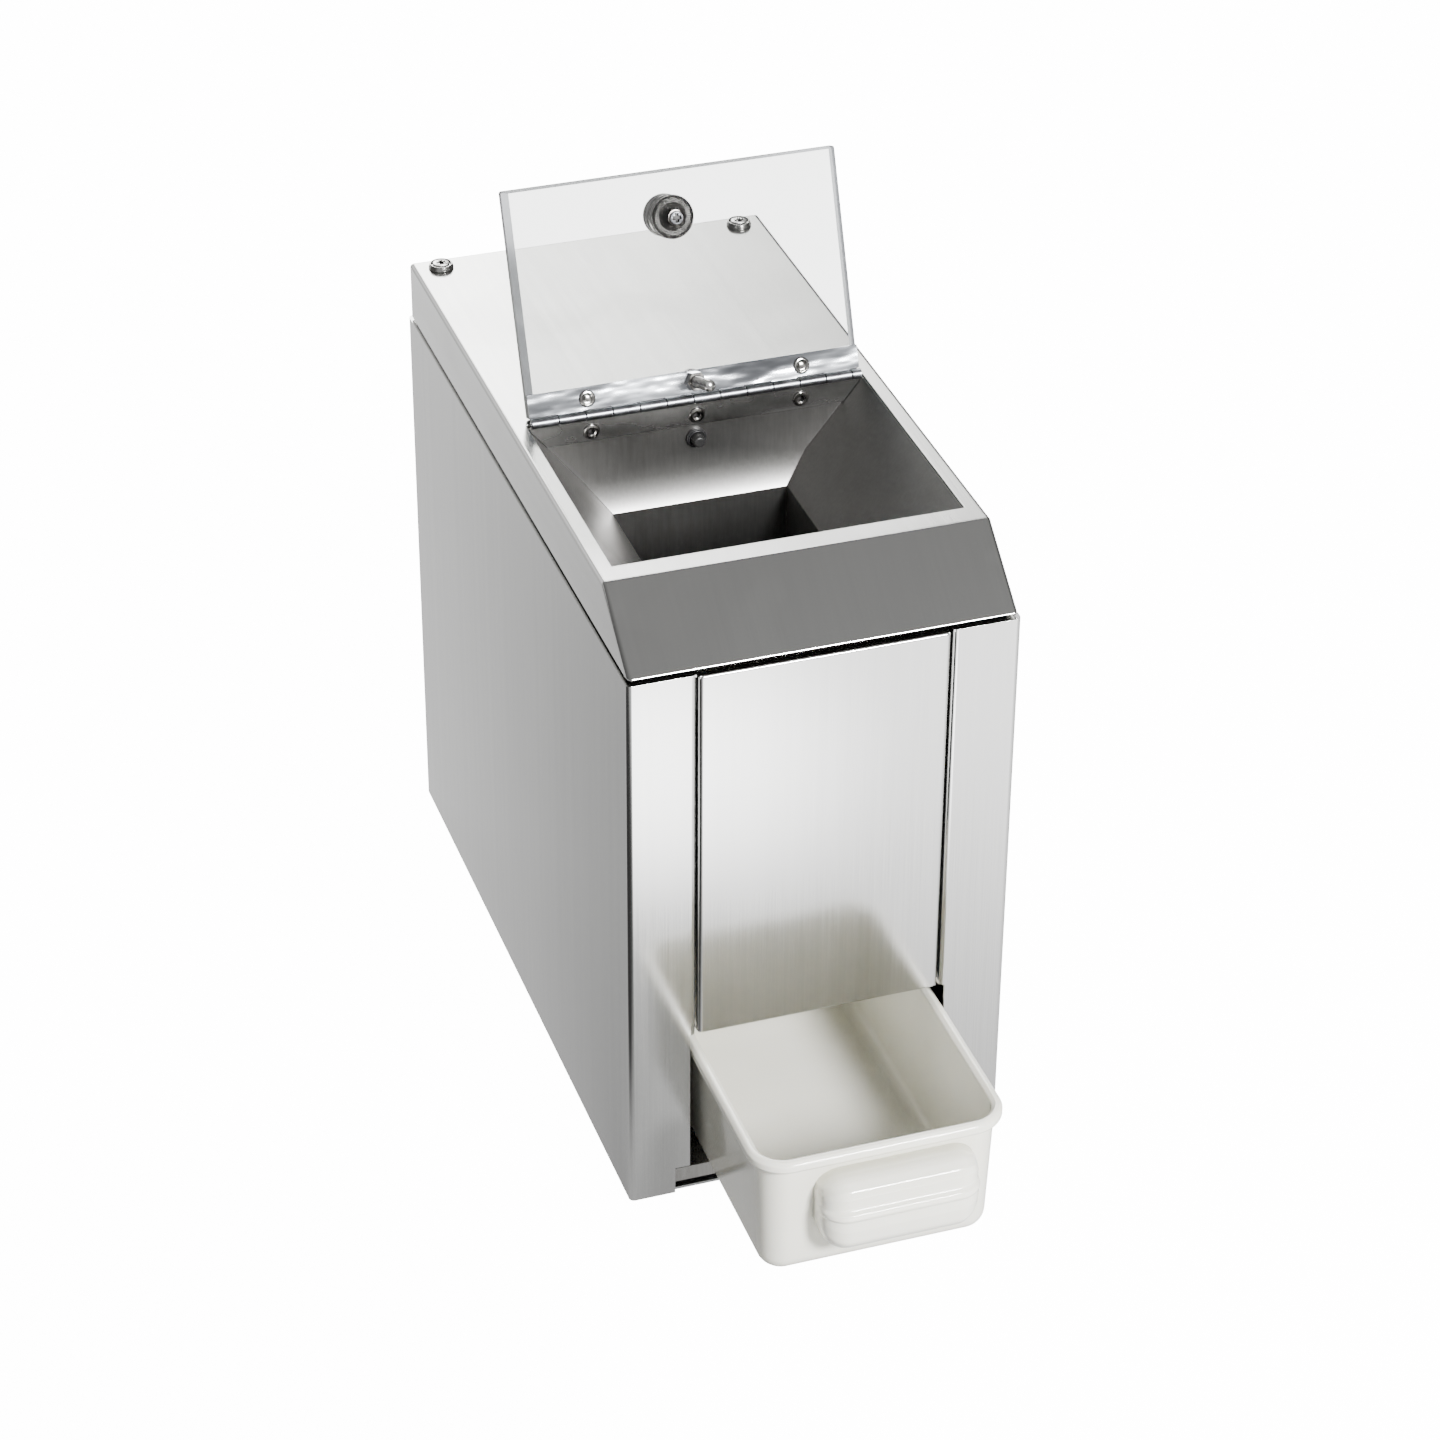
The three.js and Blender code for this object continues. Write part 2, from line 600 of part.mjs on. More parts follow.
function gearOutline(teeth, startAngle) {
  const pitchRadius = (gears.module * teeth) / 2;
  const root = pitchRadius - gears.module * gears.dedendumShare;
  const tip = pitchRadius + gears.module * gears.addendumShare;
  const halfTooth = Math.PI / teeth / 2;
  const slack = gears.backlash / 2 / pitchRadius;
  const flank = Math.tan(radians(gears.pressureAngle));
  const spread = (radius) => halfTooth - slack + ((pitchRadius - radius) * flank) / pitchRadius;
  const outline = [];
  for (let t = 0; t < teeth; t += 1) {
    const centre = startAngle + (t * 2 * Math.PI) / teeth;
    [[root, -1], [tip, -1], [tip, 1], [root, 1]].forEach(([radius, side]) => {
      const angle = centre + side * spread(radius);
      outline.push([radius * Math.cos(angle), radius * Math.sin(angle)]);
    });
  }
  return outline;
}

function rotorGear() {
  // a gap of the wheel faces straight down, where the pinion's tooth stands up into it
  const start = -Math.PI / 2 + Math.PI / gears.wheelTeeth;
  const width = gears.width;
  let wheel = prism(gearOutline(gears.wheelTeeth, start), 0, width, 'y');
  const dish = (width - gears.webThickness) / 2;
  const ring = (from, to) => turned([
    [gears.webHub, from], [gears.webRadius, from], [gears.webRadius, to], [gears.webHub, to],
    [gears.webHub, from],
  ], 'y', [0, 0, 0]);
  wheel = wheel.subtract(ring(-overrun, dish)).subtract(ring(width - dish, width + overrun));
  const boss = gears.wheelFront - housing.back - housing.endWall - bearing.flangeThickness - 2 * seatGap;
  wheel = wheel.add(bar(gears.hub, seatGap - boss, width / 2, 'y', [0, 0, 0]));
  return wheel.subtract(bar(bearing.shaft + seatGap, -boss - overrun, width + overrun, 'y', [0, 0, 0]));
}

function rotorShaft() {
  const front = fromFront(housing.front - housing.endWall - bearing.flangeThickness);
  const back = fromFront(gears.wheelFront + gears.width + overrun);
  const driveFront = fromFront(housing.front) + fitGap;
  const driveBack = fromFront(housing.back) - fitGap;
  const drive = prism(hexagon(blade.flats), driveFront, driveBack, 'y');
  return drive.add(bar(bearing.shaft, front, back, 'y', [0, 0, 0]));
}

// The motor hangs on an upright plate behind the tub
const motor = {
  radius: 46, behindTub: 8, behindGears: 8, plateThickness: 3, plateHalf: 58, plateRise: 58, footLength: 34,
  bossRadius: 13.5, bossLength: 3, canShare: 0.64, capLength: 6, shaft: 6, edge: 4,
  ribs: 12, ribDepth: 1.6, ribWidth: 3.2, ventInner: 16, ventOuter: 38, ventCount: 8, ventWidth: 5,
};
const fan = { radius: 38, hub: 12, length: 12, gap: 3, count: 7, bladeThickness: 1.6, disc: 2 };
// The plate stands clear of the pushed-in tub and of the gears; the can takes a share of the room behind
const motorPlateFront = Math.max(
  drawerLength + motor.behindTub, gears.wheelFront + gears.width + motor.behindGears,
);
const motorFront = motorPlateFront + motor.plateThickness + seatGap;
const canLength = (bodyDepth - sheet - motorFront) * motor.canShare;

function motorMount() {
  const { plateThickness, plateHalf, plateRise, footLength, bossRadius } = motor;
  const base = chassis.top + seatGap;
  const front = fromFront(motorPlateFront);
  const section = [[front, motorHeight + plateRise], [front, base], [front + footLength, base]];
  const bracket = prism(bentStrip(section, plateThickness, bendRadius), -plateHalf, plateHalf, 'x');
  return bracket.subtract(bar(bossRadius + fitGap, front - overrun, front + plateThickness + overrun, 'y',
    [0, 0, motorHeight]));
}

function motorCan() {
  const { radius, bossRadius, bossLength, shaft, ribs, ribDepth, ribWidth, edge } = motor;
  const front = fromFront(motorFront);
  const hole = shaft + fitGap;
  let can = turned([
    [hole, -bossLength], [bossRadius, -bossLength], [bossRadius, 0], [radius - edge, 0], [radius, edge],
    [radius, canLength], [hole, canLength], [hole, -bossLength],
  ], 'y', [0, front, motorHeight], facets.large);
  for (let i = 0; i < ribs; i += 1) {
    const slot = block(radius - ribDepth, radius + overrun, 2 * edge, canLength - edge,
      -ribWidth / 2, ribWidth / 2).rotate([0, (i * 360) / ribs, 0]).translate([0, front, motorHeight]);
    can = can.subtract(slot);
  }
  return can;
}

function motorCap() {
  const { radius, capLength, shaft, edge, ventInner, ventOuter, ventCount, ventWidth } = motor;
  const front = fromFront(motorFront + canLength) + seatGap;
  const hole = shaft + fitGap;
  let cap = turned([
    [hole, 0], [radius, 0], [radius, capLength - edge], [radius - edge, capLength], [hole, capLength],
    [hole, 0],
  ], 'y', [0, front, motorHeight], facets.large);
  for (let i = 0; i < ventCount; i += 1) {
    const slot = block(ventInner, ventOuter, -overrun, capLength + overrun, -ventWidth / 2, ventWidth / 2)
      .rotate([0, (i * 360) / ventCount, 0]).translate([0, front, motorHeight]);
    cap = cap.subtract(slot);
  }
  return cap;
}

// The motor's shaft carries the pinion in front and the fan behind; both are built about the axis
function motorShaft() {
  const front = fromFront(gears.wheelFront - gears.pinionExtra);
  const pinionBack = fromFront(gears.wheelFront + gears.width + gears.pinionExtra);
  const back = fromFront(motorFront + canLength + motor.capLength + fan.gap + fan.length);
  const pinion = prism(gearOutline(gears.pinionTeeth, Math.PI / 2), front, pinionBack, 'y');
  return pinion.add(bar(motor.shaft, front, back, 'y', [0, 0, 0]));
}

function motorFan() {
  const front = fromFront(motorFront + canLength + motor.capLength + fan.gap);
  let wheel = bar(fan.hub, 0, fan.length, 'y', [0, 0, 0]);
  wheel = wheel.add(bar(fan.radius, 0, fan.disc, 'y', [0, 0, 0], facets.large));
  for (let i = 0; i < fan.count; i += 1) {
    const vane = block(fan.hub - fan.disc, fan.radius - fan.disc, fan.disc / 2, fan.length,
      -fan.bladeThickness / 2, fan.bladeThickness / 2).rotate([0, (i * 360) / fan.count, 0]);
    wheel = wheel.add(vane);
  }
  wheel = wheel.subtract(bar(motor.shaft + seatGap, -overrun, fan.length + overrun, 'y', [0, 0, 0]));
  return wheel.translate([0, front, 0]);
}

// The chute under the crusher widens towards the tub
const chute = { bottom: 85, spread: 8, forward: 14, wall: 1.2, lip: 3.5 };
const drawer = {
  rimHeight: 79, rimDepth: 6, rimReach: 3.4, rimRound: 1.4, rimHalf: 59.2, wall: 2.6, draft: 2.6,
  cornerRadius: 17, floorRadius: 9, floorThickness: 2.6,
};

// How far the tub's walls have leant in at a height
const tubBottom = chassis.top + fitGap;
const tubLean = (z) => (drawer.draft * (drawer.rimHeight - z)) / (drawer.rimHeight - tubBottom);

// The guides beside the tub; each is bent in at its back end, where the closed tub stops
function railSolid(side) {
  const base = chassis.top + seatGap;
  const { halfGap, height, thickness, footWidth, start, stop } = rail;
  const end = fromFront(drawerLength - drawerProud - drawer.rimReach - tubLean(base + height)) + fitGap;
  const section = bentStrip([[halfGap, base + height], [halfGap, base], [halfGap + footWidth, base]],
    thickness, bendRadius).map(([x, z]) => [side * x, z]);
  const tab = rectangle(halfGap - stop, halfGap + thickness, base, base + height)
    .map(([x, z]) => [side * x, z]);
  return prism(section, fromFront(start), end + thickness, 'y').add(prism(tab, end, end + thickness, 'y'));
}

function chuteSolid() {
  const { bottom, spread, forward, wall, lip } = chute;
  const top = housingBottom - seatGap;
  const ring = (grow, low) => {
    const half = housing.halfInside + grow + (low ? spread : 0);
    const front = fromFront(housing.front) - grow - (low ? forward : 0);
    const back = fromFront(housing.back) + grow - (low ? forward : 0);
    return rectangle(-half, half, front, back);
  };
  const extend = (z) => (top - z) / (top - bottom);
  const blend = (grow, z) => ring(grow, false).map((p, i) => {
    const q = ring(grow, true)[i];
    const share = extend(z);
    return [p[0] + (q[0] - p[0]) * share, p[1] + (q[1] - p[1]) * share];
  });
  const outer = loft([{ points: blend(wall, bottom), z: bottom }, { points: blend(wall, top), z: top }]);
  const inner = loft([
    { points: blend(0, bottom - overrun), z: bottom - overrun },
    { points: blend(0, top + overrun), z: top + overrun },
  ]);
  const flange = prism(ring(wall + lip, false), top - wall, top, 'z');
  return outer.add(flange).subtract(inner);
}

// The hopper: four walls that draw in to a neck standing on the crusher
const hopper = { wall: 1.2, flange: 6, foldDrop: 33.7, neckShare: 0.72, neckLip: 4 };
const hopperTop = coverUnder - seatGap;
const hopperFold = hopperTop - hopper.foldDrop;
const hopperNeck = housingTop + (hopperFold - housingTop) * hopper.neckShare;
function hopperRings(grow) {
  const front = fromFront(mouthFront);
  const back = fromFront(mouthBack);
  const neckFront = fromFront(housing.front);
  const neckBack = fromFront(housing.back);
  const share = (hopperTop - hopperFold) / (hopperTop - hopperNeck);
  const foldHalf = mouthHalf + (housing.halfInside - mouthHalf) * share;
  const foldFront = front + (neckFront - front) * share;
  const ring = (half, y0, y1) => rectangle(-half - grow, half + grow, y0 - grow, y1 + grow);
  const bottom = housingTop + seatGap;
  return [
    { points: ring(housing.halfInside, neckFront, neckBack), z: grow > 0 ? bottom : bottom - overrun },
    { points: ring(housing.halfInside, neckFront, neckBack), z: hopperNeck },
    { points: ring(foldHalf, foldFront, back), z: hopperFold },
    { points: ring(mouthHalf, front, back), z: hopperTop },
    ...(grow > 0 ? [] : [{ points: ring(mouthHalf, front, back), z: hopperTop + overrun }]),
  ];
}

function hopperSolid() {
  const { wall, flange, neckLip } = hopper;
  const rim = prism(rectangle(-mouthHalf - flange, mouthHalf + flange, fromFront(mouthFront) - flange,
    fromFront(mouthBack) + flange), hopperTop - wall, hopperTop, 'z');
  const bottom = housingTop + seatGap;
  const half = housing.halfInside + neckLip;
  const footing = prism(rectangle(-half, half, fromFront(housing.front) - neckLip,
    fromFront(housing.back) + neckLip), bottom, bottom + wall, 'z');
  let body = loft(hopperRings(wall)).add(rim).add(footing).subtract(loft(hopperRings(0)));
  const through = [fromFront(mouthBack) - overrun, fromFront(mouthBack) + wall + overrun];
  body = body.subtract(bar(safety.barrel + fitGap, ...through, 'y', [0, 0, switchHeight]));
  lowerRivetPlaces.forEach((x) => {
    body = body.subtract(bar(rivet.shank + fitGap, ...through, 'y', [x, 0, hingeHeight - rivet.below],
      facets.hole));
  });
  return body;
}

// The piano hinge between the hopper's back wall and the lid
const hinge = {
  knuckle: 2.3, leaf: 1, pin: 1.1, pitch: 12.7, lowerWidth: 14, lidWidth: 13, slit: 0.5, sideGap: 1.5,
  above: 1.6,
};
const hingeLength = mouthWidth - 2 * hinge.sideGap;
const hingeHeight = overallHeight + hinge.above;
const hingeY = fromFront(mouthBack) - fitGap - hinge.knuckle;
const rivet = {
  head: 4, headHeight: 0.9, shank: 1.9, below: 9, spacing: 50, core: 1.3, coreDepth: 2, tail: 3,
};
const lowerRivetPlaces = [-rivet.spacing, 0, rivet.spacing];

// One leaf in its own frame: the barrel lies on X and the leaf runs to -Y, level with the barrel's top
function hingeLeaf(width, firstKnuckle) {
  const { knuckle, leaf, pin, pitch, slit } = hinge;
  const half = hingeLength / 2;
  const clear = knuckle + fitGap;
  let body = block(-half, half, -width, -clear, knuckle - leaf, knuckle);
  for (let k = 0; k * pitch < hingeLength; k += 1) {
    if (k % 2 !== firstKnuckle) continue;
    const from = -half + k * pitch + slit / 2;
    const to = Math.min(-half + (k + 1) * pitch - slit / 2, half);
    if (to - from < slit) continue;
    body = body.add(bar(knuckle, from, to, 'x', [0, 0, 0], facets.knuckle));
    body = body.add(block(from, to, -clear - leaf, 0, knuckle - leaf, knuckle));
  }
  return body.subtract(bar(pin + fitGap / 2, -half - overrun, half + overrun, 'x', [0, 0, 0], facets.pin));
}

// The lower leaf hangs from the barrel, turned from level to upright
function lowerLeaf() {
  let body = hingeLeaf(hinge.lowerWidth, 0).rotate([90, 0, 0]).mirror([0, 1, 0]);
  body = body.translate([0, hingeY, hingeHeight]);
  // its lower corners are cut off along the hopper's sides
  const low = hingeHeight - hinge.lowerWidth;
  const high = hingeHeight + hinge.knuckle;
  const across = (z) => mouthHalf - fitGap - hopperSlope * (hopperTop - z);
  body = body.intersect(prism([
    [-across(low), low], [across(low), low], [across(high), high], [-across(high), high],
  ], hingeY - overrun, hingeY + overrun, 'y'));
  lowerRivetPlaces.forEach((x) => {
    body = body.subtract(bar(rivet.shank + fitGap, hingeY - overrun, hingeY + overrun, 'y',
      [x, 0, hingeHeight - rivet.below], facets.hole));
  });
  return body;
}

// A blind rivet along its own +Z: a ring head below zero, the shank, and the upset tail
function rivetSolid(grip) {
  const { head, headHeight, shank, core, coreDepth, tail } = rivet;
  return turned([
    [0, coreDepth - headHeight], [core, coreDepth - headHeight], [core, -headHeight],
    [head - headHeight, -headHeight], [head, -seatGap], [shank, -seatGap], [shank, grip + seatGap],
    [tail, grip + seatGap], [tail, grip + rivet.headHeight], [0, grip + rivet.headHeight],
  ], 'z', [0, 0, 0], facets.rivet);
}

// The safety switch behind the hopper: its booted nose shows through the wall
const stud = {
  radius: 2.7, reach: 24, along: 8, tipChamfer: 0.7, headRadius: 5, headHeight: 2.4, nutFlats: 8,
  nutHeight: 3.6,
};
const safety = {
  belowTop: 19.5, nose: 3.2, barrel: 4.1, ring: 4.8, ringThickness: 1.6, ringEdge: 0.4, halfWidth: 11,
  halfHeight: 8.4, depth: 24, travel: 5, tail: 12, barrelReach: 2.2,
};
const switchHeight = overallHeight - safety.belowTop;
const lid = { thickness: 6, sideGap: 1.5, back: 1.6, leafGap: 0.3, edge: 1.1, rivetAlong: 7.5, rivetX: 51 };

// How far the lid swings below level before its edges meet the hopper's drawn-in sides
const hopperSlope = (mouthHalf - housing.halfInside) / (hopperTop - hopperNeck);
const lidUnder = hinge.knuckle + lid.leafGap;
const lidLanding = hopperTop - lid.sideGap / hopperSlope + fitGap;
const lidDip = Math.asin((hingeHeight + lidUnder - lidLanding) / lidReach);
const noseFront = hingeY - (stud.along - stud.radius) * Math.cos(lidDip)
  + (stud.reach - hinge.knuckle + hinge.leaf) * Math.sin(lidDip) + fitGap;

function switchBody() {
  const wallBack = fromFront(mouthBack) + hopper.wall + seatGap;
  const { nose, barrel, halfWidth: w, halfHeight: h, depth, tail, travel, barrelReach } = safety;
  const height = switchHeight;
  let body = block(-w, w, wallBack, wallBack + depth, height - h, height + h);
  body = body.add(bar(barrel, fromFront(mouthBack) - barrelReach, wallBack + overrun, 'y', [0, 0, height]));
  return body.subtract(bar(nose + fitGap, fromFront(mouthBack) - barrelReach - overrun,
    fromFront(mouthBack) + tail + travel + fitGap, 'y', [0, 0, height]));
}

function switchRing() {
  const front = fromFront(mouthBack) - seatGap;
  const { ring, ringThickness, ringEdge, barrel } = safety;
  return turned([
    [barrel + seatGap, -ringThickness], [ring - ringEdge, -ringThickness], [ring, ringEdge - ringThickness],
    [ring, 0],
    [barrel + seatGap, 0], [barrel + seatGap, -ringThickness],
  ], 'y', [0, front, switchHeight]);
}

function switchNose() {
  const { nose, tail } = safety;
  const length = fromFront(mouthBack) + tail - noseFront;
  const bulge = nose / 2;
  const steps = 4;
  const dome = Array.from({ length: steps + 1 }, (_, k) => {
    const angle = (k * Math.PI) / 2 / steps;
    return [nose * Math.sin(angle), bulge * (1 - Math.cos(angle))];
  });
  return turned([...dome, [nose, length], [0, length]], 'y', [0, noseFront, switchHeight]);
}

// The lid, closed and level in its own frame: the hinge axis is X, and the lid runs to -Y
const knob = {
  along: 82, radius: 10, height: 16, flange: 3.4, groove: 1.2, grooveDepth: 1.9, drum: 9.1, crown: 2,
  flutes: 12, fluteDepth: 0.5, fluteWidth: 0.9, bore: 2.3, boreDepth: 11,
};
const knobScrew = {
  head: 3.6, headHeight: 2.4, washer: 5.2, washerHeight: 0.9, shank: 2,
  cross: 4.2, crossWidth: 1, crossDepth: 1.3,
};

function lidPanel() {
  const half = mouthHalf - lid.sideGap;
  const under = lidUnder;
  const top = lidUnder + lid.thickness;
  const { edge } = lid;
  const plan = rounded(rectangle(-half, half, -lidReach, -lid.back), edge);
  const small = rounded(rectangle(edge - half, half - edge, edge - lidReach, -lid.back - edge), edge / 2);
  let panel = loft([
    { points: small, z: under }, { points: plan, z: under + edge }, { points: plan, z: top - edge },
    { points: small, z: top },
  ]);
  const holes = [
    [-lid.rivetX, lid.rivetAlong, rivet.shank], [lid.rivetX, lid.rivetAlong, rivet.shank],
    [0, stud.along, stud.radius], [0, knob.along, knobScrew.shank],
  ];
  holes.forEach(([x, along, radius]) => {
    panel = panel.subtract(bar(radius + fitGap, under - overrun, top + overrun, 'z', [x, -along, 0],
      facets.hole));
  });
  return panel;
}

function lidLeaf() {
  let leaf = hingeLeaf(hinge.lidWidth, 1);
  [[-lid.rivetX, lid.rivetAlong, rivet.shank], [lid.rivetX, lid.rivetAlong, rivet.shank],
    [0, stud.along, stud.radius]].forEach(([x, along, radius]) => {
    leaf = leaf.subtract(bar(radius + fitGap, -overrun, overrun, 'z', [x, -along, 0], facets.hole));
  });
  return leaf;
}

function lidStud() {
  const top = lidUnder + lid.thickness + seatGap;
  const leafUnder = hinge.knuckle - hinge.leaf;
  const { radius, reach, tipChamfer, headRadius, headHeight } = stud;
  return turned([
    [0, leafUnder - reach], [radius - tipChamfer, leafUnder - reach],
    [radius, leafUnder - reach + tipChamfer],
    [radius, top], [headRadius, top], [headRadius, top + headHeight / 2], [headRadius / 2, top + headHeight],
    [0, top + headHeight],
  ], 'z', [0, -stud.along, 0], facets.stud);
}

function lidNut() {
  const top = hinge.knuckle - hinge.leaf - seatGap;
  const nut = prism(hexagon(stud.nutFlats), top - stud.nutHeight, top, 'z')
    .subtract(bar(stud.radius + seatGap, top - stud.nutHeight - overrun, top + overrun, 'z', [0, 0, 0]));
  return nut.translate([0, -stud.along, 0]);
}

function knobSolid() {
  const base = lidUnder + lid.thickness + seatGap;
  const { radius, height, flange, groove, grooveDepth, drum, crown, flutes, fluteDepth, fluteWidth } = knob;
  const shoulder = crown * (1 - Math.SQRT1_2);
  let body = turned([
    [0, 0], [radius, 0], [radius, flange], [radius - grooveDepth, flange + groove / 2],
    [radius - grooveDepth, flange + 2 * groove], [drum, flange + 3 * groove], [drum, height - crown],
    [drum - shoulder, height - shoulder], [drum - crown, height], [0, height],
  ], 'z', [0, 0, 0]);
  for (let i = 0; i < flutes; i += 1) {
    const flute = block(radius - fluteDepth, radius + overrun, -fluteWidth / 2, fluteWidth / 2,
      -overrun, flange).rotate([0, 0, (i * 360) / flutes]);
    body = body.subtract(flute);
  }
  body = body.subtract(bar(knob.bore, -overrun, knob.boreDepth, 'z', [0, 0, 0]));
  return body.translate([0, -knob.along, base]);
}

function knobScrewSolid() {
  const { head, headHeight, washer, washerHeight, shank, cross, crossWidth, crossDepth } = knobScrew;
  const under = lidUnder - seatGap;
  const grip = lid.thickness + 2 * seatGap + knob.boreDepth - overrun;
  const body = turned([
    [0, -grip], [shank, -grip], [shank, 0], [washer, 0], [washer, washerHeight], [head, washerHeight],
    [head, washerHeight + headHeight / 2], [head / 2, washerHeight + headHeight],
    [0, washerHeight + headHeight],
  ], 'z', [0, 0, 0]);
  return body.subtract(crossRecess(cross, crossDepth, crossWidth, washerHeight + headHeight))
    .rotate([180, 0, 0]).translate([0, -knob.along, under]);
}

// The tub: drafted walls, a rolled rim, and a hollow grip moulded on its front
const grip = {
  offset: 5, halfWidth: 37, top: 69, bottom: 33, reach: 18, wall: 3, corner: 10, noseRadius: 6,
  ridgeUpper: 64, ridgeLower: 53.5, ridgeHeight: 1, ridgeWidth: 3.6,
};
function tubRing(inset, z) {
  const half = drawer.rimHalf - drawer.rimReach - inset;
  const radius = Math.max(drawer.cornerRadius - drawer.rimReach - inset, drawer.wall);
  const y0 = drawer.rimReach + inset;
  return { points: rounded(rectangle(-half, half, y0, drawerLength - y0), radius), z };
}

// Walls lean in by the draft from the rim down, and roll into the floor
function tubBody(inset, floor, top) {
  const rings = [];
  const radius = drawer.floorRadius - inset;
  const steps = 3;
  for (let k = 0; k <= steps; k += 1) {
    const angle = (k * Math.PI) / 2 / steps;
    const z = floor + radius * (1 - Math.cos(angle));
    rings.push(tubRing(inset + tubLean(z) + radius * (1 - Math.sin(angle)), z));
  }
  rings.push(tubRing(inset + tubLean(top), top));
  return loft(rings);
}

function drawerTub() {
  const { rimHeight, rimDepth, rimReach, rimRound, wall, floorThickness } = drawer;
  const outer = tubBody(0, tubBottom, rimHeight - rimDepth / 2);
  const inner = tubBody(wall, tubBottom + floorThickness, rimHeight + overrun);
  const rim = loft([
    tubRing(rimRound - rimReach, rimHeight - rimDepth), tubRing(-rimReach, rimHeight - rimDepth + rimRound),
    tubRing(-rimReach, rimHeight - rimRound), tubRing(rimRound - rimReach, rimHeight - rimRound / 2),
    tubRing(0, rimHeight),
  ]);
  return outer.add(rim).add(gripSolid()).subtract(inner);
}

// The grip in the tub's frame, where y is zero at the rim's front edge
function gripSolid() {
  const { offset, halfWidth: half, top, bottom, reach, wall, corner, noseRadius } = grip;
  const wallY = drawer.rimReach + drawer.wall / 2;
  const nose = drawer.rimReach - reach;
  const form = (inset, low) => {
    const side = rounded([
      [wallY, low], [wallY, top - inset], [nose + inset, top - inset - noseRadius / 2], [nose + inset, low],
    ], [0, 0, noseRadius - inset / 2, 0]);
    const face = rounded(rectangle(inset - half, half - inset, low, top - inset),
      [low < bottom ? 0 : corner, low < bottom ? 0 : corner, corner - inset, corner - inset]);
    const plan = rounded([
      [inset - half, wallY], [inset - half, nose + inset], [half - inset, nose + inset],
      [half - inset, wallY],
    ], [0, noseRadius - inset / 2, noseRadius - inset / 2, 0]);
    return prism(side, -half, half, 'x').intersect(prism(face, nose - overrun, wallY, 'y'))
      .intersect(prism(plan, low - overrun, top + overrun, 'z'));
  };
  let solid = form(0, bottom).subtract(form(wall, bottom - overrun));
  const ridge = (z) => {
    const length = half - corner - noseRadius;
    const { ridgeHeight, ridgeWidth } = grip;
    return prism([
      [nose - ridgeHeight, z], [nose + wall / 2, z - ridgeWidth / 2], [nose + wall / 2, z + ridgeWidth / 2],
    ], -length, length, 'x');
  };
  solid = solid.add(ridge(grip.ridgeUpper - noseRadius)).add(ridge(grip.ridgeLower));
  return solid.translate([offset, 0, 0]);
}

// The rocker switch: a frame in the back panel and a key that tips in it
function rockerFrame() {
  const { x, z, width, height, bezel, bezelThickness, depth, wall } = rocker;
  const w = width / 2;
  const h = height / 2;
  const face = backY + seatGap;
  const flange = prism(rounded(rectangle(x - w - bezel, x + w + bezel, z - h - bezel, z + h + bezel), bezel),
    face, face + bezelThickness, 'y');
  const body = block(x - w, x + w, backY - depth, face + bezelThickness / 2, z - h, z + h);
  return flange.add(body).subtract(block(x - w + wall, x + w - wall, backY - depth + wall,
    face + bezelThickness + overrun, z - h + wall, z + h - wall));
}

// The key about its own pivot, drawn in its resting tilt
function rockerKey() {
  const { width, height, wall, keyReach, keyDepth, tilt } = rocker;
  const w = width / 2 - wall - fitGap;
  const h = (height / 2 - wall) * Math.cos(radians(tilt)) - rocker.keyGap;
  const shoulderY = -keyDepth * keyShares.shoulderDepth;
  const shoulderZ = h * keyShares.shoulderHeight;
  const endY = keyReach * keyShares.end;
  const side = [
    [-keyDepth, 0], [shoulderY, -shoulderZ], [endY, -h], [keyReach * keyShares.hollow, 0], [endY, h],
    [shoulderY, shoulderZ],
  ];
  return prism(side, -w, w, 'x');
}

function cableGland() {
  const { hole, flange, flangeThickness, neck, neckEdge, reach, bore, inside } = gland;
  const face = seatGap;
  return turned([
    [bore, -inside], [hole, -inside], [hole, face], [flange, face], [flange, face + flangeThickness],
    [neck, face + flangeThickness + neckEdge], [neck, reach - neckEdge], [neck - neckEdge, reach],
    [bore, reach], [bore, -inside],
  ], 'y', [gland.x, backY, gland.z], facets.knuckle);
}

// The scene graph
const crusher = new THREE.Group();
const place = (parent, name, solid, finish, position = [0, 0, 0]) => {
  const mesh = meshOf(name, solid, finish);
  mesh.position.set(...position);
  parent.add(mesh);
};

place(crusher, 'outer_shell', outerShell(), brushedSteel);
place(crusher, 'front_panel', frontPanelSolid(), brushedSteel);
place(crusher, 'front_crossbar', crossbarSolid(), galvanised);
place(crusher, 'top_cover', topCover(), satinSteel);
place(crusher, 'rear_rail', rearRailSolid(), galvanised);
[['left', -1], ['right', 1]].forEach(([name, side]) => {
  const spot = [side * screwX, backY - cover.screwInset, overallHeight];
  place(crusher, `cover_washer_${name}`, coverWasher(), bareSteel, spot);
  place(crusher, `cover_screw_${name}`, coverScrewSolid(), chromed, spot);
});

place(crusher, 'base_plate', basePlateSolid(), galvanised);
place(crusher, 'chassis_floor', chassisFloor(), bareSteel);
[['front', 1], ['rear', -1]].forEach(([end, along]) => {
  [['left', -1], ['right', 1]].forEach(([name, side]) => {
    const x = side * (halfWidth - foot.sideInset);
    const y = along > 0 ? frontY + foot.inset : backY - foot.inset;
    place(crusher, `foot_${end}_${name}`, footSolid(), blackRubber, [x, y, 0]);
  });
});
[['left', -1], ['right', 1]].forEach(([name, side]) => {
  place(crusher, `drawer_rail_${name}`, railSolid(side), galvanised);
  place(crusher, `crusher_stand_${name}`, standSolid(side), galvanised);
  place(crusher, `comb_${name}`, combSolid(side), toolSteel);
});
place(crusher, 'crusher_housing', crusherHousing(), castMetal);
place(crusher, 'bearing_front', bearingSolid(fromFront(housing.front - housing.endWall), -1), toolSteel);
place(crusher, 'bearing_rear', bearingSolid(fromFront(housing.back + housing.endWall), 1), toolSteel);
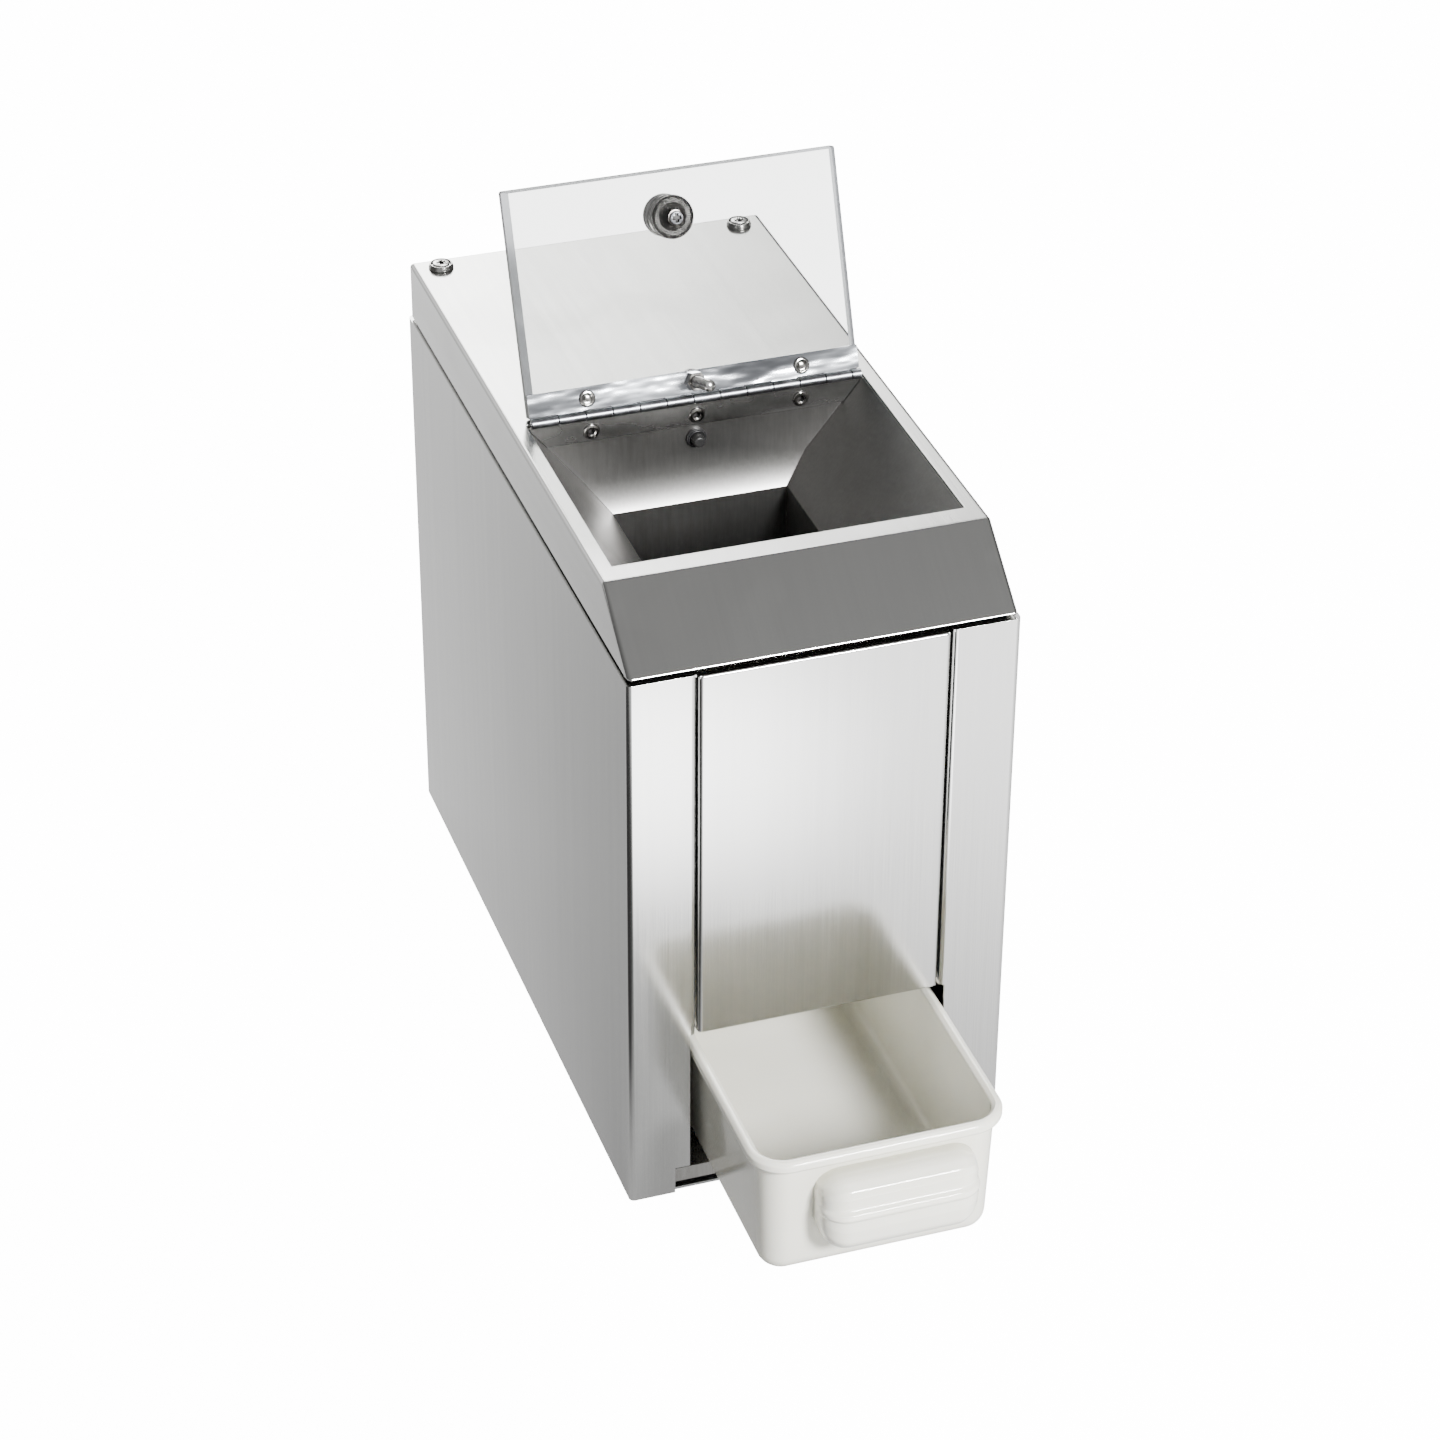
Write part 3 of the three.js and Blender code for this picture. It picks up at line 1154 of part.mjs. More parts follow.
place(crusher, 'chute', chuteSolid(), bareSteel);
place(crusher, 'hopper', hopperSolid(), bareSteel);
place(crusher, 'motor_mount', motorMount(), galvanised);
place(crusher, 'motor_can', motorCan(), paintedMetal);
place(crusher, 'motor_end_cap', motorCap(), castMetal);

place(crusher, 'switch_body', switchBody(), blackPlastic);
place(crusher, 'switch_ring', switchRing(), blackPlastic);
place(crusher, 'switch_nose', switchNose(), blackRubber);
place(crusher, 'hinge_lower_leaf', lowerLeaf(), chromed);
const hingeAxis = [0, hingeY, hingeHeight];
const hingePin = bar(hinge.pin, -hingeLength / 2, hingeLength / 2, 'x', hingeAxis, facets.pin);
place(crusher, 'hinge_pin', hingePin, chromed);
lowerRivetPlaces.forEach((x, i) => {
  const front = hingeY + hinge.knuckle - hinge.leaf;
  const through = fromFront(mouthBack) + hopper.wall - front;
  const solid = rivetSolid(through).rotate([-90, 0, 0]);
  place(crusher, `hinge_rivet_${i + 1}`, solid, chromed, [x, front, hingeHeight - rivet.below]);
});

const lidGroup = new THREE.Group();
lidGroup.position.set(...hingeAxis);
lidGroup.rotation.x = -radians(lidOpenAngle);
place(lidGroup, 'lid_panel', lidPanel(), clearPlastic);
place(lidGroup, 'lid_leaf', lidLeaf(), chromed);
[['left', -1], ['right', 1]].forEach(([name, side]) => {
  const through = lidUnder + lid.thickness - hinge.knuckle + hinge.leaf;
  place(lidGroup, `lid_rivet_${name}`, rivetSolid(through), chromed,
    [side * lid.rivetX, -lid.rivetAlong, hinge.knuckle - hinge.leaf]);
});
place(lidGroup, 'lid_stud', lidStud(), chromed);
place(lidGroup, 'lid_nut', lidNut(), chromed);
place(lidGroup, 'lid_knob', knobSolid(), darkNickel);
place(lidGroup, 'knob_screw', knobScrewSolid(), chromed);
crusher.add(lidGroup);

const drawerGroup = new THREE.Group();
drawerGroup.position.set(0, frontY - drawerPull, 0);
place(drawerGroup, 'drawer_tub', drawerTub(), creamPlastic);
crusher.add(drawerGroup);

const rotorGroup = new THREE.Group();
rotorGroup.position.set(0, 0, rotorHeight);
place(rotorGroup, 'rotor_shaft', rotorShaft(), toolSteel);
for (let i = 0; i < blade.count; i += 1) {
  place(rotorGroup, `rotor_blade_${i + 1}`, bladeSolid(i), toolSteel, [0, bladeCentre(i), 0]);
}
place(rotorGroup, 'rotor_gear', rotorGear(), toolSteel, [0, fromFront(gears.wheelFront), 0]);
crusher.add(rotorGroup);

const motorGroup = new THREE.Group();
motorGroup.position.set(0, 0, motorHeight);
place(motorGroup, 'motor_shaft', motorShaft(), toolSteel);
place(motorGroup, 'motor_fan', motorFan(), blackPlastic);
crusher.add(motorGroup);

place(crusher, 'rocker_frame', rockerFrame(), blackPlastic);
const rockerGroup = new THREE.Group();
rockerGroup.position.set(rocker.x, backY - rocker.pivotBehind, rocker.z);
rockerGroup.rotation.x = radians(rocker.tilt);
place(rockerGroup, 'rocker_key', rockerKey(), blackPlastic);
crusher.add(rockerGroup);
place(crusher, 'cable_gland', cableGland(), blackPlastic);

export default crusher;
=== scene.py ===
# Looks of a countertop ice crusher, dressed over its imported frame. Metres, +X right, +Y back, +Z up;
# the pieces' own sizes are named in millimetres.
import json
import math

import bmesh
import bpy
import numpy as np
from mathutils import Matrix, Vector


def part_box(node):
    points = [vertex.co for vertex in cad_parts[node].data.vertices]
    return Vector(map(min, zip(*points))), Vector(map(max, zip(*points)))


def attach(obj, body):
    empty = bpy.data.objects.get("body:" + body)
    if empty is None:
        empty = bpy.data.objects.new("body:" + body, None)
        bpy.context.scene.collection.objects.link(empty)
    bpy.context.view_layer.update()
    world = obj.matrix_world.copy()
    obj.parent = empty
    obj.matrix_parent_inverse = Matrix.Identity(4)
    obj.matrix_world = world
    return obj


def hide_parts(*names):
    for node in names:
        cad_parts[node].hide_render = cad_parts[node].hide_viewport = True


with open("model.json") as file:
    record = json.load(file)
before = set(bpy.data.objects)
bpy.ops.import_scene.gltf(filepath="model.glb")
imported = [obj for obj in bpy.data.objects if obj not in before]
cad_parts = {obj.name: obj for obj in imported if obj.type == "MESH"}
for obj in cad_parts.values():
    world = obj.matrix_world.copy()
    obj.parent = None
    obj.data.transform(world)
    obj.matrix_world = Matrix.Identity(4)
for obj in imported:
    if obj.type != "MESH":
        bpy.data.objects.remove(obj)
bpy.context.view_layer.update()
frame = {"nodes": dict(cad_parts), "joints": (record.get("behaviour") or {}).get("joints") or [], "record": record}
print("frame loaded:", len(frame["nodes"]), "nodes")

scene = bpy.context.scene
nodes = frame["nodes"]
record = frame["record"]
bodyOf = {name: body for body, names in record["behaviour"]["bodies"].items() for name in names}
slotOf = {part["node"]: part["material_slot"] for part in record["subparts"]}
mm = 0.001

# the lid's own frame: on the hinge's axis, -Y along the lid towards its free edge, Z out of its outer face
lidOpenDegrees = 111.5
lidJoint = next(j for j in frame["joints"] if j["name"] == "lid_hinge")
lidTurn = Matrix.Translation(lidJoint["pos_m"]) @ Matrix.Rotation(math.radians(-lidOpenDegrees), 4, "X")
lidOutward = lidTurn.to_3x3() @ Vector((0, 0, 1))


def setInputs(tree, node, values):
    # each input takes a plain value, or a link where the value is a socket
    for key, value in values.items():
        if isinstance(value, bpy.types.NodeSocket):
            tree.links.new(value, node.inputs[key])
        else:
            node.inputs[key].default_value = value
    return node


def newMaterial(name, constants):
    material = bpy.data.materials.new(name)
    material.use_nodes = True
    tree = material.node_tree
    return material, tree, setInputs(tree, tree.nodes["Principled BSDF"], constants)


def addNode(tree, kind, values=None, **settings):
    node = tree.nodes.new(kind)
    for key, value in settings.items():
        setattr(node, key, value)
    return setInputs(tree, node, values or {})


def stretched(tree, scale=(1, 1, 1)):
    # the object's own coordinates, scaled so that a pattern runs long where the scale is small
    place = addNode(tree, "ShaderNodeTexCoord").outputs["Object"]
    return addNode(tree, "ShaderNodeMapping", {"Vector": place, "Scale": scale}).outputs["Vector"]


def spread(tree, source, fromLow, fromHigh, toLow, toHigh, **settings):
    values = {0: source, 1: fromLow, 2: fromHigh, 3: toLow, 4: toHigh}
    return addNode(tree, "ShaderNodeMapRange", values, **settings).outputs[0]


noiseCore = (0.3, 0.7)


def noiseTo(tree, source, low, high):
    # nearly all of a noise's values lie in its core, which is carried to low and high
    return spread(tree, source, *noiseCore, low, high)


def blended(tree, factor, first, second, mode="MIX"):
    # a colour mix of sockets or plain values
    first, second = [(*colour, 1) if isinstance(colour, tuple) else colour for colour in (first, second)]
    values = {0: factor, 6: first, 7: second}
    return addNode(tree, "ShaderNodeMix", values, data_type="RGBA", blend_type=mode).outputs[2]


def computed(tree, operation, first, second):
    # one maths operation on two sockets or plain values
    return addNode(tree, "ShaderNodeMath", {0: first, 1: second}, operation=operation).outputs[0]


def bumped(tree, height, strength, distance, under=None):
    values = {"Height": height, "Strength": strength, "Distance": distance}
    if under is not None:
        values["Normal"] = under
    return addNode(tree, "ShaderNodeBump", values).outputs["Normal"]


def noise(tree, vector, scale, detail=3.0, roughness=0.5):
    values = {"Vector": vector, "Scale": scale, "Detail": detail, "Roughness": roughness}
    return addNode(tree, "ShaderNodeTexNoise", values).outputs["Fac"]


def newGroup(name, numbers, outputs):
    # a group whose inputs are a vector and the named numbers
    group = bpy.data.node_groups.new(name, "ShaderNodeTree")
    newSocket = group.interface.new_socket
    newSocket(name="Vector", in_out="INPUT", socket_type="NodeSocketVector")
    for label, value in numbers.items():
        newSocket(name=label, in_out="INPUT", socket_type="NodeSocketFloat").default_value = value
    for label, kind in outputs.items():
        newSocket(name=label, in_out="OUTPUT", socket_type=kind)
    return group, group.nodes.new("NodeGroupInput").outputs, group.nodes.new("NodeGroupOutput")


def placed(tree, group, vector, **values):
    return addNode(tree, "ShaderNodeGroup", {"Vector": vector, **values}, node_tree=group).outputs


def makeBrushedGrain():
    # fine hairlines and broader streaks: two noises on a stretched vector, the second coarser by Spread
    outputs = {"Hairline": "NodeSocketFloat", "Streak": "NodeSocketFloat"}
    group, given, end = newGroup("brushedGrain", {"Spread": 0.12}, outputs)
    values = {0: given["Vector"], "Scale": given["Spread"]}
    wide = addNode(group, "ShaderNodeVectorMath", values, operation="SCALE").outputs[0]
    hairline = noise(group, given["Vector"], 1.0, 4.0, 0.62)
    setInputs(group, end, {"Hairline": hairline, "Streak": noise(group, wide, 1.0, 3.0, 0.55)})
    return group


def makeSmudge():
    # hand marks and uneven sheen: a soft distorted noise and patches cut out of it
    outputs = {"Patch": "NodeSocketFloat", "Haze": "NodeSocketFloat"}
    group, given, end = newGroup("smudge", {"Size": 14.0}, outputs)
    haze = addNode(group, "ShaderNodeTexNoise", {
        "Vector": given["Vector"], "Scale": given["Size"], "Detail": 2.0, "Roughness": 0.45, "Distortion": 0.6,
    }).outputs["Fac"]
    setInputs(group, end, {"Patch": spread(group, haze, 0.52, 0.7, 0, 1), "Haze": haze})
    return group


def makeSpeckle():
    # dust and small pits: a spot round the middle of each Voronoi cell, and the cell's own colour
    outputs = {"Spot": "NodeSocketFloat", "Cell": "NodeSocketColor"}
    group, given, end = newGroup("speckle", {"Size": 300.0, "Reach": 0.18}, outputs)
    cells = addNode(group, "ShaderNodeTexVoronoi", {"Vector": given["Vector"], "Scale": given["Size"]}).outputs
    spot = computed(group, "LESS_THAN", cells["Distance"], given["Reach"])
    setInputs(group, end, {"Spot": spot, "Cell": cells["Color"]})
    return group


brushedGrain = makeBrushedGrain()
smudge = makeSmudge()
speckle = makeSpeckle()
fineBump, rippleBump, waveBump = 0.0002, 0.0003, 0.004


def brushedSteel(name, look):
    # hairlines run along the axis that the scale leaves short; streaks and smudges shift tone and gloss
    material, tree, shader = newMaterial(name, {"Metallic": 1})
    grain = placed(tree, brushedGrain, stretched(tree, look["grainScale"]), Spread=look["spread"])
    marks = placed(tree, smudge, stretched(tree), Size=look["smudgeSize"])
    tone = computed(tree, "ADD", noiseTo(tree, grain["Hairline"], 0, look["lineShare"]),
                    noiseTo(tree, grain["Streak"], 0, 1 - look["lineShare"]))
    colour = blended(tree, tone, look["dark"], look["light"])
    colour = blended(tree, noiseTo(tree, marks["Haze"], 0, look["haze"]), colour, look["hazeTint"], "MULTIPLY")
    gloss = computed(tree, "ADD", noiseTo(tree, grain["Hairline"], *look["roughness"]),
                     spread(tree, marks["Patch"], 0, 1, 0, look["smudgeRoughness"]))
    normal = bumped(tree, grain["Hairline"], look["lineBump"], fineBump)
    normal = bumped(tree, marks["Haze"], look["waveBump"], waveBump, normal)
    setInputs(tree, shader, {"Base Color": colour, "Roughness": gloss, "Normal": normal})
    return material


def galvanisedSheet(name):
    # zinc spangle: each Voronoi cell has its own tone and gloss
    material, tree, shader = newMaterial(name, {"Metallic": 1})
    place = stretched(tree)
    cells = placed(tree, speckle, place, Size=160.0, Reach=0.1)
    tone = addNode(tree, "ShaderNodeSeparateColor", {0: cells["Cell"]}).outputs
    setInputs(tree, shader, {
        "Base Color": blended(tree, tone[0], (0.42, 0.44, 0.45), (0.6, 0.62, 0.63)),
        "Roughness": spread(tree, tone[1], 0, 1, 0.32, 0.5),
        "Normal": bumped(tree, noise(tree, place, 420.0), 0.12, rippleBump),
    })
    return material


def plainMetal(name, look):
    # machined or plated metal: faint mottling, pits, and a rippled normal where the look asks for it
    material, tree, shader = newMaterial(name, {"Metallic": 1})
    place = stretched(tree, look.get("stretch", (1, 1, 1)))
    mottle = noise(tree, place, look["mottleScale"])
    spots = placed(tree, speckle, place, Size=look["pitScale"], Reach=0.12)
    colour = blended(tree, noiseTo(tree, mottle, 0, 1), look["dark"], look["light"])
    pits = spread(tree, spots["Spot"], 0, 1, 0, look["pits"])
    setInputs(tree, shader, {
        "Base Color": blended(tree, pits, colour, look["pitTint"]),
        "Roughness": noiseTo(tree, mottle, *look["roughness"]),
        "Normal": bumped(tree, mottle, look["ripple"], look.get("rippleHeight", rippleBump)),
    })
    return material


def mouldedPlastic(name, look):
    # glossy moulding: slow tone drift, faint orange peel and dust
    material, tree, shader = newMaterial(name, {
        "IOR": 1.5, "Coat Weight": look.get("coat", 0), "Coat Roughness": 0.06,
        "Subsurface Weight": look.get("glow", 0), "Subsurface Radius": (0.004, 0.003, 0.002),
    })
    place = stretched(tree)
    drift = noise(tree, place, look["driftScale"], 2.0)
    spots = placed(tree, speckle, place, Size=look["dustScale"], Reach=0.09)
    colour = blended(tree, noiseTo(tree, drift, 0, 1), look["dark"], look["light"])
    dust = spread(tree, spots["Spot"], 0, 1, 0, look["dust"])
    setInputs(tree, shader, {
        "Base Color": blended(tree, dust, colour, look["dustTint"]),
        "Roughness": noiseTo(tree, drift, *look["roughness"]),
        "Normal": bumped(tree, noise(tree, place, look["peelScale"], 2.0), look["peel"], fineBump),
    })
    return material


def clearAcrylic(name, look):
    # clear sheet: a breath of haze in the polish, and rougher, greyer cut edges
    material, tree, shader = newMaterial(name, {"Transmission Weight": look["clear"], "IOR": 1.49})
    place = stretched(tree)
    haze = placed(tree, smudge, place, Size=look["hazeSize"])
    setInputs(tree, shader, {
        "Base Color": blended(tree, haze["Haze"], look["dark"], look["light"]),
        "Roughness": spread(tree, haze["Patch"], 0, 1, *look["roughness"]),
        "Normal": bumped(tree, noise(tree, place, look["cutScale"]), look["cut"], fineBump),
    })
    return material


coverLook = {
    "grainScale": (1500, 16, 1500), "spread": 0.1, "smudgeSize": 16.0, "lineShare": 0.5,
    "dark": (0.5, 0.5, 0.485), "light": (0.58, 0.58, 0.56), "haze": 0.25, "hazeTint": (0.88, 0.88, 0.87),
    "roughness": (0.17, 0.23), "smudgeRoughness": 0.03, "lineBump": 0.03, "waveBump": 0.012,
}
fastenerLook = {
    "mottleScale": 260.0, "pitScale": 900.0, "pits": 0.3, "dark": (0.6, 0.59, 0.57),
    "light": (0.82, 0.81, 0.79), "pitTint": (0.4, 0.39, 0.37), "roughness": (0.1, 0.22), "ripple": 0.1,
}
finishes = {
    "brushed_cabinet": brushedSteel("brushedCabinet", {
        "grainScale": (1700, 1700, 14), "spread": 0.13, "smudgeSize": 9.0, "lineShare": 0.6,
        "dark": (0.54, 0.54, 0.535), "light": (0.62, 0.62, 0.61), "haze": 0.2, "hazeTint": (0.9, 0.9, 0.9),
        "roughness": (0.125, 0.185), "smudgeRoughness": 0.02, "lineBump": 0.045, "waveBump": 0.012,
    }),
    "satin_cover": brushedSteel("satinCover", coverLook),
    "bare_steel": brushedSteel("bareSteel", {
        "grainScale": (900, 900, 60), "spread": 0.1, "smudgeSize": 30.0, "lineShare": 0.6,
        "dark": (0.36, 0.355, 0.34), "light": (0.48, 0.475, 0.46), "haze": 0.4, "hazeTint": (0.78, 0.77, 0.75),
        "roughness": (0.26, 0.34), "smudgeRoughness": 0.04, "lineBump": 0.03, "waveBump": 0.012,
    }),
    "galvanised_sheet": galvanisedSheet("galvanisedSheet"),
    "bright_fastener": plainMetal("brightFastener", fastenerLook),
    "hinge_steel": plainMetal("hingeSteel", {
        "stretch": (0.35, 1, 1), "mottleScale": 50.0, "pitScale": 500.0, "pits": 0.25,
        "dark": (0.28, 0.29, 0.31), "light": (0.7, 0.73, 0.77), "pitTint": (0.2, 0.19, 0.18),
        "roughness": (0.08, 0.18), "ripple": 0.4, "rippleHeight": 0.0035,
    }),
    "dark_nickel": plainMetal("darkNickel", {
        "mottleScale": 220.0, "pitScale": 700.0, "pits": 0.4, "dark": (0.02, 0.019, 0.018),
        "light": (0.085, 0.08, 0.075), "pitTint": (0.4, 0.38, 0.35), "roughness": (0.12, 0.24), "ripple": 0.12,
    }),
    "tool_steel": plainMetal("toolSteel", {
        "stretch": (1, 0.2, 1), "mottleScale": 180.0, "pitScale": 600.0, "pits": 0.3,
        "dark": (0.36, 0.36, 0.36), "light": (0.56, 0.56, 0.56), "pitTint": (0.2, 0.19, 0.18),
        "roughness": (0.2, 0.38), "ripple": 0.1,
    }),
    "cast_housing": plainMetal("castHousing", {
        "mottleScale": 420.0, "pitScale": 800.0, "pits": 0.5, "dark": (0.4, 0.4, 0.4),
        "light": (0.58, 0.58, 0.57), "pitTint": (0.24, 0.24, 0.24), "roughness": (0.42, 0.6), "ripple": 0.5,
        "rippleHeight": 0.0005,
    }),
    "dark_paint": mouldedPlastic("darkPaint", {
        "driftScale": 30.0, "dustScale": 500.0, "dark": (0.03, 0.032, 0.035), "light": (0.06, 0.063, 0.068),
        "dust": 0.4, "dustTint": (0.16, 0.16, 0.16), "roughness": (0.35, 0.5), "peelScale": 900.0, "peel": 0.2,
    }),
    "cream_plastic": mouldedPlastic("creamPlastic", {
        "driftScale": 18.0, "dustScale": 400.0, "dark": (0.79, 0.775, 0.68), "light": (0.85, 0.84, 0.76),
        "dust": 0.12, "dustTint": (0.7, 0.69, 0.64), "roughness": (0.1, 0.15), "peelScale": 300.0,
        "peel": 0.03, "glow": 0.12, "coat": 0.3,
    }),
    "black_plastic": mouldedPlastic("blackPlastic", {
        "driftScale": 40.0, "dustScale": 600.0, "dark": (0.012, 0.012, 0.013), "light": (0.024, 0.024, 0.025),
        "dust": 0.3, "dustTint": (0.09, 0.09, 0.09), "roughness": (0.3, 0.42), "peelScale": 1600.0,
        "peel": 0.25,
    }),
    "black_rubber": mouldedPlastic("blackRubber", {
        "driftScale": 60.0, "dustScale": 700.0, "dark": (0.01, 0.01, 0.01), "light": (0.022, 0.021, 0.02),
        "dust": 0.4, "dustTint": (0.08, 0.08, 0.075), "roughness": (0.45, 0.6), "peelScale": 1200.0,
        "peel": 0.3,
    }),
    "clear_acrylic": clearAcrylic("clearAcrylic", {
        "hazeSize": 20.0, "dark": (0.56, 0.565, 0.56), "light": (0.6, 0.605, 0.6),
        "roughness": (0.0, 0.02), "cutScale": 60.0, "cut": 0.01, "clear": 1.0,
    }),
}
sawnEdge = clearAcrylic("sawnAcrylicEdge", {
    "hazeSize": 120.0, "dark": (0.15, 0.155, 0.165), "light": (0.22, 0.23, 0.24),
    "roughness": (0.3, 0.45), "cutScale": 500.0, "cut": 0.25, "clear": 0.4,
})
wornFastener = plainMetal("wornFastener", {
    **fastenerLook, "pits": 0.2, "dark": (0.27, 0.265, 0.255), "light": (0.4, 0.39, 0.375),
    "pitTint": (0.15, 0.145, 0.14), "roughness": (0.1, 0.18), "ripple": 0.05,
})
lowerLeafFinish = plainMetal("lowerLeafSteel", {
    "stretch": (0.3, 1, 1), "mottleScale": 60.0, "pitScale": 500.0, "pits": 0.2, "dark": (0.34, 0.34, 0.33),
    "light": (0.5, 0.5, 0.49), "pitTint": (0.25, 0.24, 0.23), "roughness": (0.2, 0.32), "ripple": 0.05,
    "rippleHeight": 0.0006,
})
# painted shade: a darker, finer-grained version of the bare steel for the hopper's hollow
hopperShadedSteel = brushedSteel("hopperSteelPaintedShade", {
    "grainScale": (900, 900, 60), "spread": 0.1, "smudgeSize": 24.0, "lineShare": 0.8,
    "dark": (0.27, 0.266, 0.26), "light": (0.31, 0.306, 0.3), "haze": 0.4, "hazeTint": (0.8, 0.79, 0.77),
    "roughness": (0.32, 0.34), "smudgeRoughness": 0.05, "lineBump": 0.004, "waveBump": 0.02,
})
coverFastener = plainMetal("coverFastener", {
    **fastenerLook, "dark": (0.48, 0.475, 0.465), "light": (0.64, 0.635, 0.62),
    "pitTint": (0.3, 0.29, 0.28), "roughness": (0.12, 0.2), "ripple": 0.06,
})
knuckleFinish = plainMetal("wornKnuckle", {
    "mottleScale": 160.0, "pitScale": 600.0, "pits": 0.3, "dark": (0.17, 0.175, 0.185),
    "light": (0.3, 0.31, 0.33), "pitTint": (0.15, 0.145, 0.14), "roughness": (0.28, 0.4), "ripple": 0.1,
    "rippleHeight": 0.0004,
})
specialFinishes = {
    "hinge_lower_leaf": lowerLeafFinish, "hopper": hopperShadedSteel, "knob_screw": knuckleFinish,
    "lid_nut": wornFastener, "lid_rivet_left": wornFastener, "lid_rivet_right": wornFastener,
    **{f"hinge_rivet_{i}": wornFastener for i in (1, 2, 3)},
    **{f"cover_{kind}_{side}": coverFastener for kind in ("screw", "washer") for side in ("left", "right")},
}
slopeFinish = brushedSteel("satinSlope", {
    **coverLook, "grainScale": (1500, 16, 16), "dark": (0.52, 0.52, 0.51), "light": (0.53, 0.53, 0.515),
    "roughness": (0.195, 0.205), "lineBump": 0.003,
})
# painted light: the cover's steel made lighter for its sides
skirtPaintedLight = brushedSteel("satinSkirtPaintedLight", {**coverLook, "dark": (0.7, 0.7, 0.69), "light": (0.78, 0.78, 0.77)})

finishOf = {name: specialFinishes.get(name, finishes[slotOf[name]]) for name in nodes}
for name, node in nodes.items():
    node.data.materials.clear()
    node.data.materials.append(finishOf[name])
print("finishes made:", len(finishes))


def dress(piece, name):
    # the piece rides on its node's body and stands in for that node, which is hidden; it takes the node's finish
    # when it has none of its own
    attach(piece, bodyOf[name])
    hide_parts(name)
    if not piece.data.materials:
        piece.data.materials.append(finishOf[name])
    return piece


def smoothed(mesh, degrees):
    mesh.shade_smooth()
    mesh.set_sharp_from_angle(angle=math.radians(degrees))


def meshPiece(name, points, faces, degrees=40):
    mesh = bpy.data.meshes.new(name)
    mesh.from_pydata(np.asarray(points).reshape(-1, 3).tolist(), [], faces)
    mesh.update()
    piece = bpy.data.objects.new(name, mesh)
    scene.collection.objects.link(piece)
    work = bmesh.new()
    work.from_mesh(mesh)
    bmesh.ops.remove_doubles(work, verts=work.verts, dist=1e-7)
    bmesh.ops.recalc_face_normals(work, faces=work.faces)
    work.to_mesh(mesh)
    work.free()
    smoothed(mesh, degrees)
    return piece


def gridFaces(rows, columns, closeColumns=True):
    # quads between neighbouring rows and columns of a grid, wrapped round where its columns close
    column = np.arange(columns if closeColumns else columns - 1)
    starts, column = np.meshgrid(np.arange(rows - 1) * columns, column, indexing="ij")
    here, beside = (starts + column).ravel(), (starts + (column + 1) % columns).ravel()
    return np.stack([here, beside, beside + columns, here + columns], 1).tolist()


def arcProfile(corners, steps=6):
    # a profile through (across, along, radius) corners; each is rounded by an arc of its radius
    corners = np.array(corners, float)
    points = []
    for i, (x, y, radius) in enumerate(corners):
        here = np.array([x, y])
        if radius == 0 or i in (0, len(corners) - 1):
            points.append(here[None])
            continue
        before, after = corners[i - 1, :2] - here, corners[i + 1, :2] - here
        before, after = before / np.linalg.norm(before), after / np.linalg.norm(after)
        half = math.acos(np.clip(before @ after, -1, 1)) / 2
        reach = radius / math.tan(half)
        middle = before + after
        centre = here + middle / np.linalg.norm(middle) * radius / math.sin(half)
        a, b = here + before * reach - centre, here + after * reach - centre
        turn = math.atan2(a[0] * b[1] - a[1] * b[0], a @ b)
        t = np.linspace(0, turn, steps + 1)
        points.append(centre + np.stack([a[0] * np.cos(t) - a[1] * np.sin(t),
                                         a[0] * np.sin(t) + a[1] * np.cos(t)], 1))
    return np.concatenate(points)


def turnedPoints(profile, sides, wobble=None):
    # the profile's (radius, height) carried round Z; wobble(radius, height, angle) may shift both
    angle = np.linspace(0, 2 * np.pi, sides, endpoint=False)
    r, h = [np.repeat(profile[:, i][:, None], sides, 1) for i in (0, 1)]
    a = np.repeat(angle[None], len(profile), 0)
    if wobble is not None:
        r, h = wobble(r, h, a)
    return np.stack([r * np.cos(a), r * np.sin(a), h], -1)


def carried(points, matrix):
    # points in millimetres of the matrix's own frame, moved into the scene
    return points.reshape(-1, 3) * mm @ np.array(matrix.to_3x3()).T + np.array(matrix.translation)


def localOf(points, matrix):
    # the other way: the scene's points in millimetres of the matrix's own frame
    return (points - np.array(matrix.translation)) @ np.array(matrix.to_3x3()) / mm


def turnedPiece(name, corners, matrix, sides=64, steps=5, wobble=None, degrees=40):
    profile = corners if isinstance(corners, np.ndarray) else arcProfile(corners, steps)
    points = carried(turnedPoints(profile, sides, wobble), matrix)
    return meshPiece(name, points, gridFaces(len(profile), sides), degrees)


def spanOf(node):
    # a node's low corner and its middle in metres, and its size in millimetres
    low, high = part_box(node)
    return low, (low + high) / 2, (high - low) / mm


def pointed(centre, direction):
    # a frame whose Z points along the direction
    turn = Vector(direction).to_track_quat("Z", "Y").to_matrix()
    return Matrix.Translation(Vector(centre)) @ turn.to_4x4()


def readOut(items, label, size=1, kind=np.float32):
    values = np.zeros(len(items) * size, kind)
    items.foreach_get(label, values)
    return values.reshape(-1, size) if size > 1 else values


softLook = {"weld": 2e-6, "flatDegrees": 0.6, "smoothDegrees": 35, "edgeDegrees": 32, "faceShare": 0.3}


